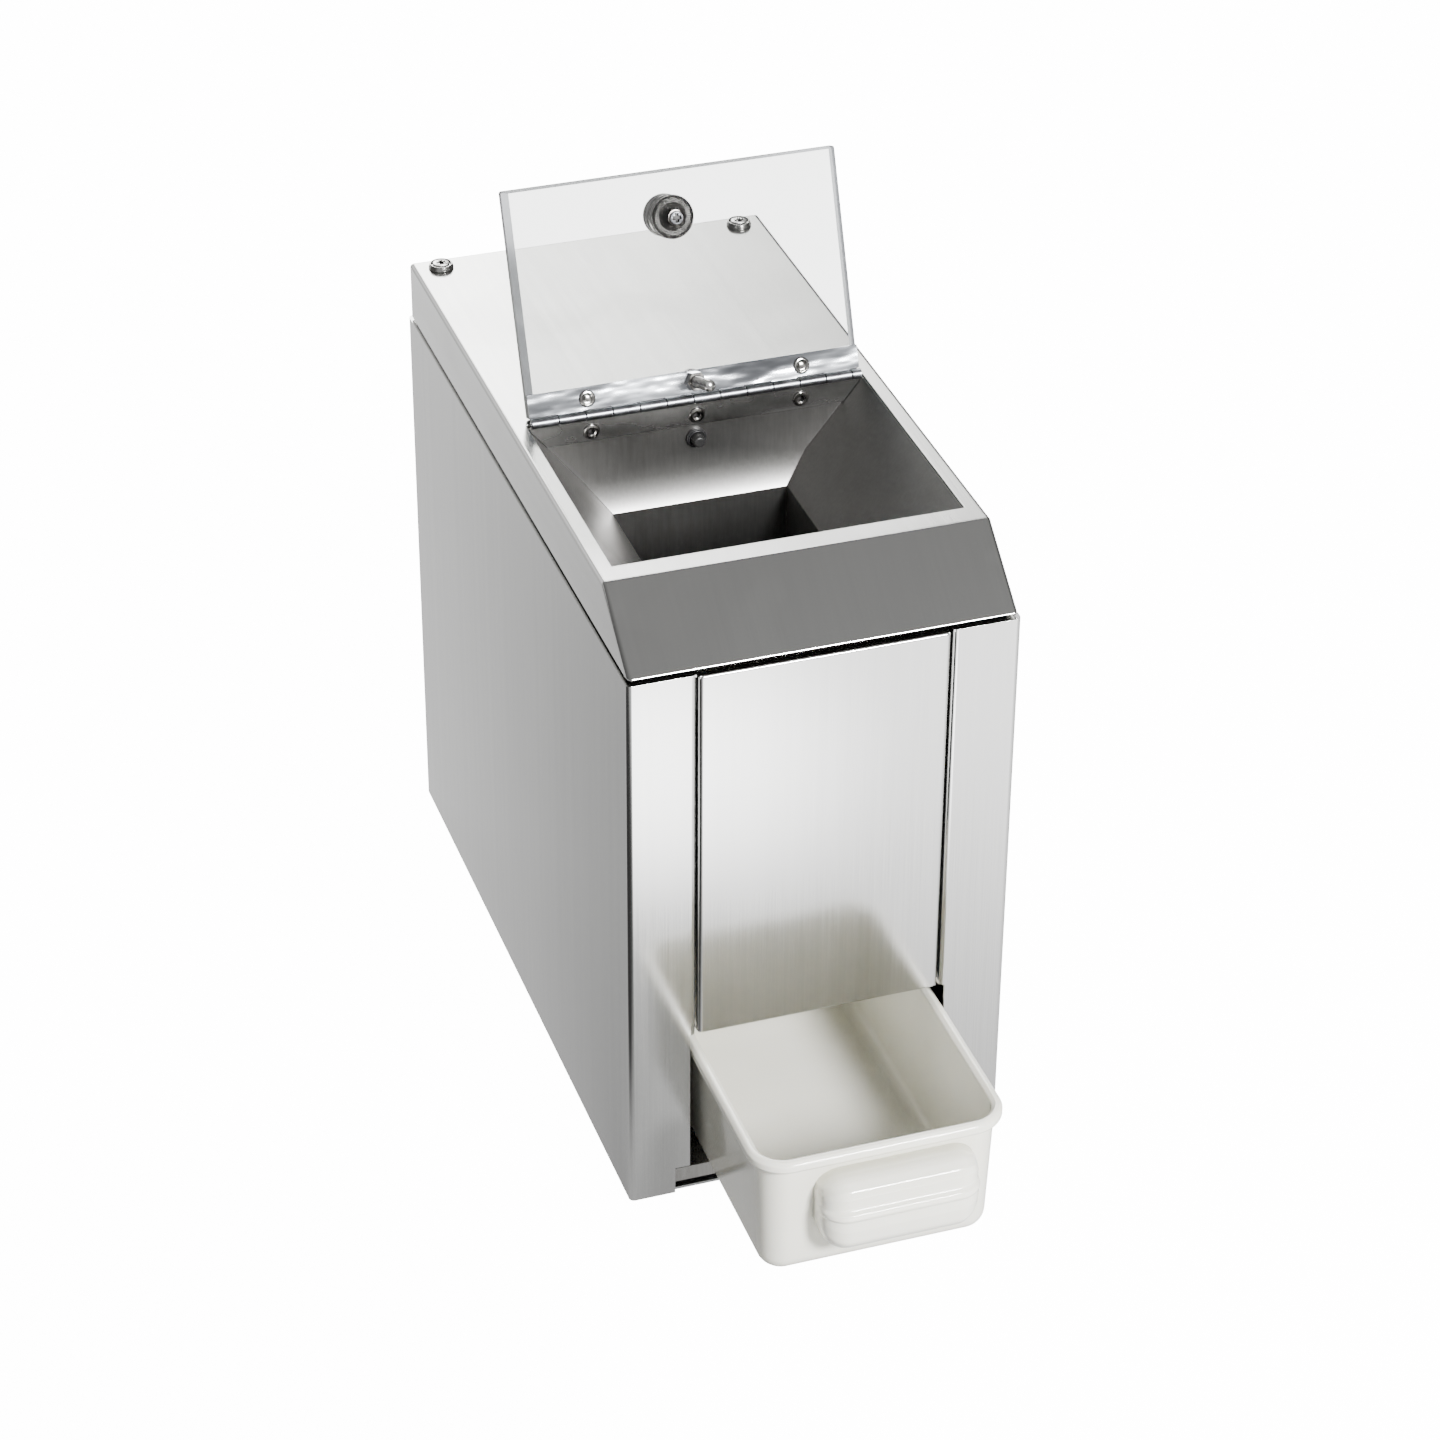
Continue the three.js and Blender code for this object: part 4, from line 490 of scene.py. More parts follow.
def edgeShares(mesh, outer, inner):
    # each bent edge is rounded to the outer or inner radius, at most to a share of the narrower face beside it
    face = np.repeat(np.arange(len(mesh.polygons)), readOut(mesh.polygons, "loop_total", 1, np.int32))
    edge = readOut(mesh.loops, "edge_index", 1, np.int32)
    ends = readOut(mesh.vertices, "co", 3)[readOut(mesh.edges, "vertices", 2, np.int32)]
    count = np.bincount(edge, minlength=len(mesh.edges))
    first = np.cumsum(count) - count
    paired = count == 2
    order = np.argsort(edge, kind="stable")
    a, b = face[order[first[paired]]], face[order[first[paired] + 1]]
    area, normal = readOut(mesh.polygons, "area"), readOut(mesh.polygons, "normal", 3)
    centre = readOut(mesh.polygons, "center", 3)
    length = np.linalg.norm(ends[paired, 0] - ends[paired, 1], axis=1)
    outward = np.sum(normal[a] * (centre[b] - centre[a]), 1) < 0
    room = np.minimum(area[a], area[b]) / length * softLook["faceShare"]
    radius = np.minimum(np.where(outward, outer, inner) * mm, room)
    radius[np.sum(normal[a] * normal[b], 1) > math.cos(math.radians(softLook["edgeDegrees"]))] = 0
    shares = np.zeros(len(mesh.edges), np.float32)
    shares[paired] = radius / (outer * mm)
    return shares


def finerCopy(node, bevel, segments=2, bend=None):
    # the node's own form with its triangles merged to plates and its edges softened
    k = softLook
    name = node + "_fine"
    mesh = nodes[node].data.copy()
    mesh.name = name
    piece = bpy.data.objects.new(name, mesh)
    scene.collection.objects.link(piece)
    work = bmesh.new()
    work.from_mesh(mesh)
    bmesh.ops.remove_doubles(work, verts=work.verts, dist=k["weld"])
    bmesh.ops.dissolve_degenerate(work, edges=work.edges, dist=k["weld"])
    flat = math.radians(k["flatDegrees"])
    bmesh.ops.dissolve_limit(work, angle_limit=flat, verts=work.verts, edges=work.edges)
    work.to_mesh(mesh)
    work.free()
    smoothed(mesh, k["smoothDegrees"])
    soft = piece.modifiers.new("softEdges", "BEVEL")
    soft.segments = segments
    soft.angle_limit = math.radians(k["edgeDegrees"])
    soft.use_clamp_overlap = bend is None
    soft.limit_method = "ANGLE" if bend is None else "WEIGHT"
    soft.width = (bend or bevel) * mm
    if bend is not None:
        shares = mesh.attributes.new("bevel_weight_edge", "FLOAT", "EDGE")
        shares.data.foreach_set("value", edgeShares(mesh, bend, bevel))
    even = piece.modifiers.new("evenNormals", "WEIGHTED_NORMAL")
    even.keep_sharp = True
    return dress(piece, node)


bends = {"front_panel": 0.9, "top_cover": 0.9}
softEdges = {
    "outer_shell": 0.22, "front_panel": 0.22, "top_cover": 0.22, "chassis_floor": 0.3, "base_plate": 0.3,
    "hopper": 0.2, "front_crossbar": 0.4, "rear_rail": 0.2, "drawer_rail_left": 0.2, "drawer_rail_right": 0.2,
    "crusher_housing": 0.8, "comb_left": 0.4, "comb_right": 0.4, "chute": 0.2, "rocker_frame": 0.5,
    "hinge_lower_leaf": 0.12, "lid_leaf": 0.12, "lid_nut": 0.3, "motor_mount": 0.4,
    "crusher_stand_left": 0.2, "crusher_stand_right": 0.2, "switch_body": 0.5,
}
softened = {
    node: finerCopy(node, width, 3 if node in bends else 2, bend=bends.get(node))
    for node, width in softEdges.items()
}
finerCopy("rocker_key", 0.6, 3)
print("plates softened:", len(softEdges) + 1)


def secondFinish(piece, finish, chosen):
    # the chosen faces get one more finish
    index = readOut(piece.data.polygons, "material_index", 1, np.int32)
    index[chosen] = len(piece.data.materials)
    piece.data.materials.append(finish)
    piece.data.polygons.foreach_set("material_index", index)


def leaning(piece, facing, least, most):
    # the faces whose normal leans on the direction by a share between least and most
    share = readOut(piece.data.polygons, "normal", 3) @ np.array(facing)
    return (share > least) & (share < most)


def centresOf(piece):
    return readOut(piece.data.polygons, "center", 3)


def moveTo(mesh, points):
    mesh.vertices.foreach_set("co", points.astype(np.float32).ravel())
    mesh.update()


coverShape = {
    "slopeLean": (0.3, 0.95), "sideLean": (0.6, 1.1), "sheet": 1.3, "bottomEdge": 0.1, "frontDrop": 0.4,
    "rearDrop": 1.2,
}


def finishCover():
    # the slope takes its own finish, and the sides a lighter copy of the cover's steel, which paints brighter
    # light on them; the sides' bottom edges come closer to the shell, most at the back
    k = coverShape
    cover = softened["top_cover"]
    secondFinish(cover, slopeFinish, leaning(cover, (0, -1, 0), *k["slopeLean"]))
    for outward in (-1, 1):
        secondFinish(cover, skirtPaintedLight, leaning(cover, (outward, 0, 0), *k["sideLean"]))
    points = readOut(cover.data.vertices, "co", 3)
    low, high = points.min(0), points.max(0)
    edge = points[:, 2] < low[2] + k["bottomEdge"] * mm
    edge &= np.abs(points[:, 0]) > high[0] - k["sheet"] * mm
    along = (points[edge, 1] - low[1]) / (high[1] - low[1])
    points[edge, 2] -= (k["frontDrop"] + (k["rearDrop"] - k["frontDrop"]) * along) * mm
    moveTo(cover.data, points)


knuckleReach = 2.45


def dullKnuckles():
    # the rolled knuckles of both leaves are duller than the flat strips
    for leaf in (softened["hinge_lower_leaf"], softened["lid_leaf"]):
        centres = localOf(centresOf(leaf), lidTurn)
        secondFinish(leaf, knuckleFinish, np.hypot(centres[:, 1], centres[:, 2]) < knuckleReach)


lidLook = {
    "under": 2.6, "thickness": 6, "half": 78.5, "bevel": 3.2, "bevelBand": (2, 0.3), "sawnLean": 0.975,
    "leafUnder": 1.3, "rivetX": 51, "rivetAlong": 7.5, "studAlong": 8, "knobAlong": 82, "seatGap": 0.1,
}
lidInner = lidLook["under"] - lidLook["seatGap"]
lidOuter = lidLook["under"] + lidLook["thickness"] + lidLook["seatGap"]


def onLid(x, along, height):
    # a frame on the lid at a distance from the hinge and a height over the hinge's axis
    return lidTurn @ Matrix.Translation(Vector((x, -along, height)) * mm)


def makeLidPanel():
    # the CAD panel, with its underside's left and right bevels widened
    k = lidLook
    panel = finerCopy("lid_panel", 0.12)
    mesh = panel.data
    local = localOf(readOut(mesh.vertices, "co", 3), lidTurn)
    width, height = k["bevelBand"]
    edge = (local[:, 2] < k["under"] + height) & (np.abs(local[:, 0]) > k["half"] - width)
    local[edge, 0] = np.sign(local[edge, 0]) * (k["half"] - k["bevel"])
    moveTo(mesh, carried(local, lidTurn))
    smoothed(mesh, 8)
    secondFinish(panel, sawnEdge, leaning(panel, lidOutward, -k["sawnLean"], k["sawnLean"]))


finishCover()
dullKnuckles()
makeLidPanel()

crossLook = {
    "rings": (26, 8), "reach": (1.25, 1.3), "sides": 96, "rim": 0.3, "rimDrop": 0.12,
    "sideSlant": 0.25, "endSlant": 0.5, "paintedShadeShare": 0.35,
}


def crossHead(name, node, look, matrix):
    # a domed head whose height falls in a cross-shaped recess with slanted walls, on its own shank; the recess's
    # deeper faces take the black finish as painted shade
    k = crossLook
    radius, height, dome, shank, length, cross, crossWidth, depth = look.values()
    arm, half = cross / 2, crossWidth / 2
    edge = radius - k["rim"]
    (fine, coarse), (fineTo, coarseFrom) = k["rings"], k["reach"]
    r = np.concatenate([np.linspace(0, arm * fineTo, fine), np.linspace(arm * coarseFrom, edge, coarse)])
    top = height - dome * (r / radius) ** 2
    rim = arcProfile([
        (edge, top[-1], 0), (radius, top[-1] - k["rimDrop"], 0.3), (radius, 0, 0.15), (shank, 0, 0.1),
        (shank, -length, 0.4), (0, -length, 0),
    ], 4)
    profile = np.concatenate([np.stack([r, top], 1), rim])
    grid = turnedPoints(profile, k["sides"])
    x, y = grid[..., 0], grid[..., 1]

    def bar(u, v):
        # 1 within one bar of the cross, falling to 0 over its slanted walls
        beside, beyond = (half - np.abs(u)) / k["sideSlant"], (arm - np.abs(v)) / k["endSlant"]
        return np.clip(np.minimum(beside, beyond), 0, 1)

    recess = np.maximum(bar(x, y), bar(y, x)) * depth
    recess[len(r):] = 0
    grid[..., 2] -= recess
    faces = gridFaces(len(profile), k["sides"])
    screw = dress(meshPiece(name, carried(grid, matrix), faces, 50), node)
    # painted shade: faces sunk deeper than a share of the recess's depth take the black rubber finish
    x, y, z = localOf(centresOf(screw), matrix).T
    across = np.hypot(x, y)
    dip = height - dome * (across / radius) ** 2 - z
    paintedRecessShade = (dip > k["paintedShadeShare"] * depth) & (across < arm) & (z > -0.1)
    secondFinish(screw, finishes["black_rubber"], paintedRecessShade)


coverScrewLook = {
    "radius": 4, "height": 1.7, "dome": 0.4, "shank": 2.4, "length": 12.5, "cross": 4.6, "crossWidth": 1.9,
    "crossDepth": 1.6,
}
washerLook = {
    "inside": 2.75, "radius": 6, "top": 5.3, "height": 2.4, "seat": 1.3, "cup": 4.8, "brim": 0.7, "gap": 0.02,
}


def makeCoverScrew(side):
    # a cup washer on the cover, and a screw whose head is sunk in the cup
    inside, radius, top, height, seat, cup, brim, gap = washerLook.values()
    low, centre, _ = spanOf(f"cover_washer_{side}")
    centre.z = low.z
    washer = turnedPiece(f"cupWasher_{side}", [
        (inside, gap, 0), (radius, gap, 0.25), (radius, brim, 0.3), (top, height, 0.35), (cup, height, 0.2),
        (cup, seat, 0.2), (inside, seat, 0.15), (inside, gap, 0),
    ], pointed(centre, (0, 0, 1)), 72)
    dress(washer, f"cover_washer_{side}")
    centre.z += seat * mm
    crossHead(f"coverScrew_{side}", f"cover_screw_{side}", coverScrewLook, pointed(centre, (0, 0, 1)))


rivetLook = {"head": 4, "height": 0.9, "shank": 1.8, "core": 1.5, "coreDepth": 1.9, "groove": 0.5, "tail": 3}


def rivetPiece(name, matrix, grip, filled=False):
    # a ring head whose middle is sunk, or filled behind a groove; Z runs from the head into the sheet
    head, height, shank, core, deep, groove, tail = rivetLook.values()
    middle = [(0, deep, 0), (core, deep, 0)]
    if filled:
        plug, core = core - 0.1, core + groove
        middle = [(0, -0.7, 0), (plug, -0.7, 0.25), (plug, 0.4, 0), (core, 0.4, 0)]
    return turnedPiece(name, middle + [
        (core, -0.6, 0.25), (core + 0.8, -height, 0.4), (head - 0.5, 0.1 - height, 0.5), (head, -0.05, 0.15),
        (shank, -0.05, 0.02), (shank, grip + 0.1, 0.02), (tail, grip + 0.1, 0.2), (tail - 0.3, grip + 0.9, 0.3),
        (0, grip + 0.9, 0),
    ], matrix, 48, 4)


def makeLeafRivet(node, name):
    # a rivet through the lower leaf and the hopper's wall; the hole in its head is painted black as painted shade
    k = rivetLook
    low, centre, size = spanOf(node)
    centre.y = low.y + k["height"] * mm
    rivet = rivetPiece(name, pointed(centre, (0, 1, 0)), size.y - 2 * k["height"])
    dress(rivet, node)
    # painted shade: the hole's wall and bottom take the black rubber finish
    x, y, z = (centresOf(rivet) - np.array(centre)).T / mm
    paintedRecessShade = (np.hypot(x, z) < k["core"] + 0.02) & (y < k["coreDepth"] + 0.1)
    secondFinish(rivet, finishes["black_rubber"], paintedRecessShade)


for side in ("left", "right"):
    makeCoverScrew(side)
for i in (1, 2, 3):
    makeLeafRivet(f"hinge_rivet_{i}", f"leafRivet_{i}")
for side, x in (("left", -lidLook["rivetX"]), ("right", lidLook["rivetX"])):
    grip = lidLook["under"] + lidLook["thickness"] - lidLook["leafUnder"]
    seat = onLid(x, lidLook["rivetAlong"], lidLook["leafUnder"])
    dress(rivetPiece(f"lidRivet_{side}", seat, grip, True), f"lid_rivet_{side}")

studLook = {"radius": 2.7, "reach": 24, "pitch": 0.8, "depth": 0.28, "rings": 190, "head": 5, "headHeight": 2.4}


def makeStud():
    # a threaded pin: the radius dips once for each pitch, and the thread climbs as it goes round
    k = studLook
    radius, head, leaf = k["radius"], k["head"], lidLook["leafUnder"]
    low, top = leaf - k["reach"], lidOuter
    threaded = np.linspace(low + 0.7, leaf - 0.2, k["rings"])
    profile = np.concatenate([
        [[0, low], [radius - 0.7, low]], np.stack([np.full_like(threaded, radius), threaded], 1),
        [[radius - 0.1, leaf], [radius - 0.1, top]],
        arcProfile([(radius - 0.1, top, 0), (head, top, 0.2), (head, top + 1.3, 0.4),
                    (head - 2.2, top + k["headHeight"], 1.2), (0, top + k["headHeight"], 0)])[1:],
    ])
    inThread = (profile[:, 1] > low + 0.6) & (profile[:, 1] < leaf - 0.1)

    def thread(r, h, a):
        phase = (h / k["pitch"] - a / (2 * np.pi)) % 1
        cut = k["depth"] * (1 - np.abs(2 * phase - 1) * 1.2).clip(0, 1)
        return np.where(inThread[:, None], r - cut, r), h

    seat = onLid(0, lidLook["studAlong"], 0)
    return turnedPiece("threadedStud", profile, seat, 48, wobble=thread, degrees=60)


dress(makeStud(), "lid_stud")

knobLook = {
    "radius": 10, "height": 16, "flange": 3, "groove": 1.1, "grooveDepth": 1.7, "drum": 9.8, "line": 10.7,
    "lineDepth": 0.5, "flutes": 72, "fluteDepth": 0.12, "face": (5.6, 9.4), "faceRings": 34,
    "waveRing": (7.5, 1.3), "waves": (34, 21), "waveTwists": (4, -5), "waveHeight": 0.26,
    "brightLean": (-0.93, -0.2),
}


def makeKnob():
    # a turned knob: the flange's rim is finely fluted, and its face carries a ring of small crossed waves
    k = knobLook
    radius, height, flange, groove, drum = [k[key] for key in ("radius", "height", "flange", "groove", "drum")]
    line, cut, neck = k["line"], k["lineDepth"], radius - k["grooveDepth"]
    faceFrom, faceTo = k["face"]
    face = np.stack([np.linspace(faceFrom, faceTo, k["faceRings"]), np.zeros(k["faceRings"])], 1)
    side = arcProfile([
        (faceTo, 0, 0), (radius, 0, 0.4), (radius, flange, 0.5), (neck, flange + 0.6, 0.3),
        (neck, flange + 2 * groove, 0.3), (drum, flange + 2.7 * groove, 0.4), (drum, line - cut, 0.2),
        (drum - cut, line, 0.2), (drum, line + cut, 0.2), (drum, height, 1.8), (0, height, 0),
    ], 5)
    profile = np.concatenate([[[0, 0], [faceFrom - 0.2, 0]], face, side[1:]])

    def fluted(r, h, a):
        onRim = (r > faceTo + 0.05) & (h < flange + 0.2)
        r = r - np.where(onRim, k["fluteDepth"] * (0.5 + 0.5 * np.cos(k["flutes"] * a)) ** 3, 0)
        middle, width = k["waveRing"]
        ring = np.clip(1.4 - np.abs(r - middle) / width, 0, 1) * (h < 0.01)
        first, second = [np.cos(count * a + twist * r) for count, twist in zip(k["waves"], k["waveTwists"])]
        return r, h + k["waveHeight"] * ring * (0.5 + 0.5 * first * second)

    seat = onLid(0, lidLook["knobAlong"], lidOuter)
    return turnedPiece("turnedKnob", profile, seat, 360, wobble=fluted, degrees=35)


knob = dress(makeKnob(), "lid_knob")
secondFinish(knob, finishes["bright_fastener"], leaning(knob, lidOutward, *knobLook["brightLean"]))

knobScrewLook = {
    "radius": 3, "height": 1.9, "dome": 0.5, "shank": 2, "length": 13, "cross": 4.4, "crossWidth": 1.8,
    "crossDepth": 1.4,
}
knobWasherLook = {"inside": 2.05, "radius": 3.9, "height": 0.85, "headSeat": 0.9}


def makeKnobScrew():
    # the head and its washer stand on the lid's inner face
    inside, radius, height, headSeat = knobWasherLook.values()
    seat = onLid(0, lidLook["knobAlong"], lidInner) @ Matrix.Rotation(math.pi, 4, "X")
    raised = seat @ Matrix.Translation(Vector((0, 0, headSeat)) * mm)
    crossHead("knobScrew", "knob_screw", knobScrewLook, raised)
    washer = turnedPiece("knobWasher", [
        (inside, 0, 0), (radius, 0, 0.2), (radius, height, 0.3), (inside, height, 0.1), (inside, 0, 0),
    ], seat, 64, 4)
    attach(washer, "lid")
    washer.data.materials.append(finishes["dark_nickel"])


makeKnobScrew()
print("lid dressed")


def lyingNode(node):
    # the radius and length of a node that lies along Y, and a frame at its front end whose Z points back
    low, centre, size = spanOf(node)
    return size.x / 2, size.y, pointed((centre.x, low.y, centre.z), (0, 1, 0))


noseLook = {"tipShare": 0.72, "tipRound": 0.9, "shoulder": 1.7, "skirt": 4.2}


def makeSwitchNose():
    # a rubber boot that widens from its blunt tip
    radius, length, place = lyingNode("switch_nose")
    k = noseLook
    return turnedPiece("bootedNose", [
        (0, 0, 0), (radius * k["tipShare"], 0, k["tipRound"]), (radius - 0.15, k["shoulder"], 0.8),
        (radius, k["skirt"], 0.5), (radius, length, 0.2), (0, length, 0),
    ], place, 48)


ringLook = {"inside": 4.2, "depth": 1.6}


def makeSwitchRing():
    radius, _, place = lyingNode("switch_ring")
    inside, depth = ringLook.values()
    return turnedPiece("switchRing", [
        (inside, 0.02, 0), (radius - 0.25, 0, 0.3), (radius, 0.6, 0.3), (radius, depth, 0), (inside, depth, 0),
        (inside, 0.02, 0),
    ], place, 48)


footLook = {"pit": 3.8, "pitDepth": 1.5, "lip": 4.4, "draft": 1.1}


def makeFoot(place):
    # a rubber foot with a pit underneath, widening towards the base plate
    low, centre, size = spanOf(f"foot_{place}")
    centre.z = low.z
    radius, height = size.x / 2, size.z
    pit, pitDepth, lip, draft = footLook.values()
    return turnedPiece(f"rubberFoot_{place}", [
        (0, pitDepth, 0), (pit, pitDepth, 0.3), (lip, 0, 0.5), (radius - draft, 0, 0.9), (radius, height, 0.4),
        (0, height, 0),
    ], Matrix.Translation(centre))


glandLook = {
    "bore": 3.6, "thread": 7.9, "nut": 12, "nutFlat": 10.9, "nutFrom": 9.1, "nutTo": 13.1, "cap": 9,
    "capTo": 21, "mouth": 7.2, "length": 23,
}


def makeGland():
    # a threaded shank, a six-sided nut and a rounded cap with the cord's bore
    place = lyingNode("cable_gland")[2]
    bore, thread, nut, nutFlat, nutFrom, nutTo, cap, capTo, mouth, length = glandLook.values()

    def nutSides(r, h, a):
        # the nut's radius follows a hexagon with rounded corners
        wedge = (a + math.pi / 6) % (math.pi / 3) - math.pi / 6
        return np.where((r > nutFlat - 0.5) & (h > nutFrom + 0.1), np.minimum(r, nutFlat / np.cos(wedge)), r), h

    return turnedPiece("cableGland", [
        (bore, 0, 0), (thread, 0, 0.3), (thread, nutFrom, 0.1), (nut, nutFrom, 0.3), (nut, nutTo, 0.5),
        (cap, nutTo + 1.1, 0.5), (cap - 0.1, capTo, 1), (mouth, length, 0.8), (bore + 0.3, length, 0.5),
        (bore, length - 1, 0.3), (bore, 0, 0),
    ], place, 72, wobble=nutSides)


dress(makeSwitchNose(), "switch_nose")
dress(makeSwitchRing(), "switch_ring")
for place in ("front_left", "front_right", "rear_left", "rear_right"):
    dress(makeFoot(place), f"foot_{place}")
dress(makeGland(), "cable_gland")
print("small turned pieces made")


tubLook = {
    "length": 196, "bottom": 12.3, "rimReach": 3.4, "rimDepth": 6, "wall": 2.6, "draft": 2.6, "floor": 2.6,
    "floorRadius": 9, "floorInset": 30, "corner": 17, "leastCorner": 2, "cornerSteps": 14, "straightSteps": 10,
}


def roundedRings(insets):
    # a rounded rectangle for each inset: corner centres stay, straight runs are cut into equal steps
    k = tubLook
    half, length, corner, least = spanOf("drawer_tub")[2].x / 2, k["length"], k["corner"], k["leastCorner"]
    t = np.linspace(0, np.pi / 2, k["cornerSteps"])
    unit = np.stack([np.cos(t), np.sin(t)], 1)
    quarters = [unit @ np.array([[c, s], [-s, c]]) for c, s in ((1, 0), (0, 1), (-1, 0), (0, -1))]
    centres = np.array([[half - corner, length - corner], [corner - half, length - corner],
                        [corner - half, corner], [half - corner, corner]])
    step = np.linspace(0, 1, k["straightSteps"] + 2)[1:-1, None]
    rings = []
    for inset in insets:
        radius, shift = max(corner - inset, least), max(inset - corner + least, 0)
        arcs = [centre - np.sign(centre - [0, length / 2]) * shift + quarter * radius
                for centre, quarter in zip(centres, quarters)]
        ring = []
        for arc, after in zip(arcs, arcs[1:] + arcs[:1]):
            ring += [arc, arc[-1] * (1 - step) + after[0] * step]
        rings.append(np.concatenate(ring))
    return np.array(rings)


def makeTub():
    # an (inset, height) profile carried round a rounded rectangle: floor, drafted wall, rolled rim, inside
    k = tubLook
    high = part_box("drawer_tub")[1]
    bottom, top = k["bottom"], high.z / mm
    brim, floorTop = top - k["rimDepth"], bottom + k["floor"]

    def lean(z):
        return k["rimReach"] + k["draft"] * (top - z) / (top - bottom)

    profile = arcProfile([
        (k["floorInset"], bottom, 0), (lean(bottom), bottom, k["floorRadius"]), (lean(brim), brim, 0.5),
        (0.9, brim, 0.8), (0, top - 4.4, 1.4), (0, top - 1.6, 1.5), (1.6, top, 1.6), (3.2, top, 0.9),
        (lean(top - 3) + 1.6, top - 1.4, 1.2),
        (lean(floorTop) + k["wall"], floorTop, k["floorRadius"] - k["wall"]), (k["floorInset"], floorTop, 0),
    ], 7)
    rings = roundedRings(profile[:, 0])
    heights = np.repeat(profile[:, 1][:, None], rings.shape[1], 1)
    grid = np.concatenate([rings, heights[..., None]], -1) * mm
    grid[..., 1] += high.y - k["length"] * mm
    rows, columns = grid.shape[:2]
    faces = gridFaces(rows, columns)
    faces.append(list(range(columns))[::-1])
    faces.append(list(range((rows - 1) * columns, rows * columns)))
    return meshPiece("iceTub", grid, faces)


gripLook = {
    "offset": 5, "half": 37, "sections": 61, "endRound": 12, "wall": 3, "root": 1.5, "middle": 52,
    "drawReach": 14, "drawShare": 10 / 18,
    "section": (
        (-1.5, 69, 0), (10.5, 68.7, 6), (14.6, 66.2, 2.6), (16.2, 63.2, 2.2), (16, 57.2, 1.6),
        (18.3, 55.6, 1.3), (18.9, 53.4, 1.6), (17.6, 51.4, 1.6), (17.6, 46, 6), (16.6, 38.5, 7),
        (12.6, 33.2, 5), (9, 33, 0),
    ),
}


def makeGrip():
    # a hood's section in (reach, height), drawn in towards both ends by a quarter circle
    k = gripLook
    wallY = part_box("drawer_tub")[1].y / mm - tubLook["length"] + tubLook["rimReach"]
    section = arcProfile(k["section"])
    u = np.linspace(-1, 1, k["sections"])
    x = np.sign(u) * np.abs(u) ** 0.75 * k["half"]
    past = np.clip(np.abs(x) - (k["half"] - k["endRound"]), 0, k["endRound"])
    drawn = (k["endRound"] - np.sqrt(np.maximum(k["endRound"] ** 2 - past ** 2, 0)))[:, None]
    reach = section[:, 0] - drawn * np.clip(section[:, 0] / k["drawReach"], 0, 1)
    rise = (section[:, 1] - k["middle"]) * (1 - drawn / k["endRound"] * k["drawShare"])
    across = np.repeat(x[:, None] + k["offset"], len(section), 1)
    grid = np.stack([across, wallY - reach, k["middle"] + rise], -1)
    rows, columns = grid.shape[:2]
    ends = [[grid[row, 0, 0], wallY + k["root"], grid[row, -1, 2]] for row in (0, -1)]
    points = np.concatenate([grid.reshape(-1, 3), ends]) * mm
    faces = gridFaces(rows, columns, closeColumns=False)
    last = rows * columns
    faces.append(list(range(columns)) + [last])
    faces.append(list(range(last - columns, last))[::-1] + [last + 1])
    piece = meshPiece("tubGrip", points, faces, 45)
    normals, areas = readOut(piece.data.polygons, "normal", 3), readOut(piece.data.polygons, "area")
    if normals[:, 1] @ areas > 0:
        piece.data.flip_normals()
    solid = piece.modifiers.new("wall", "SOLIDIFY")
    solid.thickness = k["wall"] * mm
    solid.offset = -1
    return piece


dress(makeTub(), "drawer_tub")
gripPiece = makeGrip()
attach(gripPiece, "tub")
gripPiece.data.materials.append(finishes["cream_plastic"])
print("tub made")


# the studio: a pale floor, a soft sky whose brightness depends on direction, and one key light
studio = {
    "floorSize": 9.0, "floorAlbedo": 0.15, "seenFloor": 15.0, "throughLid": 8.2,
    "wedgeFrom": (0.337, -1.551), "wedgeSlopes": (0.245, 0.315), "wedgeGlow": (1.02, 0.35),
    "farSide": (-0.21, -0.27), "farGain": 0.35, "shadePatchPlace": (-0.4, -0.28, 0.0), "shadePatchReach": (0.2, 0.32),
    "shadePatchGlow": 0.05, "shadePatchAlbedo": 0.004, "frontSpan": (-0.25, -0.8), "ceilingSpan": (0.3, 0.75),
    "frontPlace": (0.3, -0.75, 0.0), "frontReach": (0.2, 0.62), "frontGlow": 2.3,
    "spotPlace": (0.0, -0.54, 0.0), "spotReach": (0.03, 0.19), "spotGlow": 6.5,
    "overhead": 0.3, "sideStrength": 0.1, "frontStrength": 0.35,
    "keyPlace": (0.65, -2.14, 1.46), "keyAim": (0.0, -0.15, 0.1), "keySize": 0.5, "keyPower": 200.0,
}


# each light's direction, the distances from it where its fall starts and ends, and its strength
skyLights = {
    "window": ((0.125, 0.89, 0.438), (0.12, 0.26), 10.5),
    "halo": ((0.125, 0.89, 0.438), (0.2, 0.6), 1.1),
    "fold": ((0.29, 0.6, 0.75), (0.1, 0.2), 12.0),
    "left": ((-0.45, 0.85, 0.22), (0.15, 0.6), 1.0),
}


def smoothFall(tree, source, near, far, high, low):
    return spread(tree, source, near, far, high, low, interpolation_type="SMOOTHSTEP")


def fallFrom(tree, source, point, reach, high, low):
    # high up to the first distance of reach from the point, low beyond the second
    distance = addNode(tree, "ShaderNodeVectorMath", {0: source, 1: point}, operation="DISTANCE")
    return smoothFall(tree, distance.outputs["Value"], *reach, high, low)


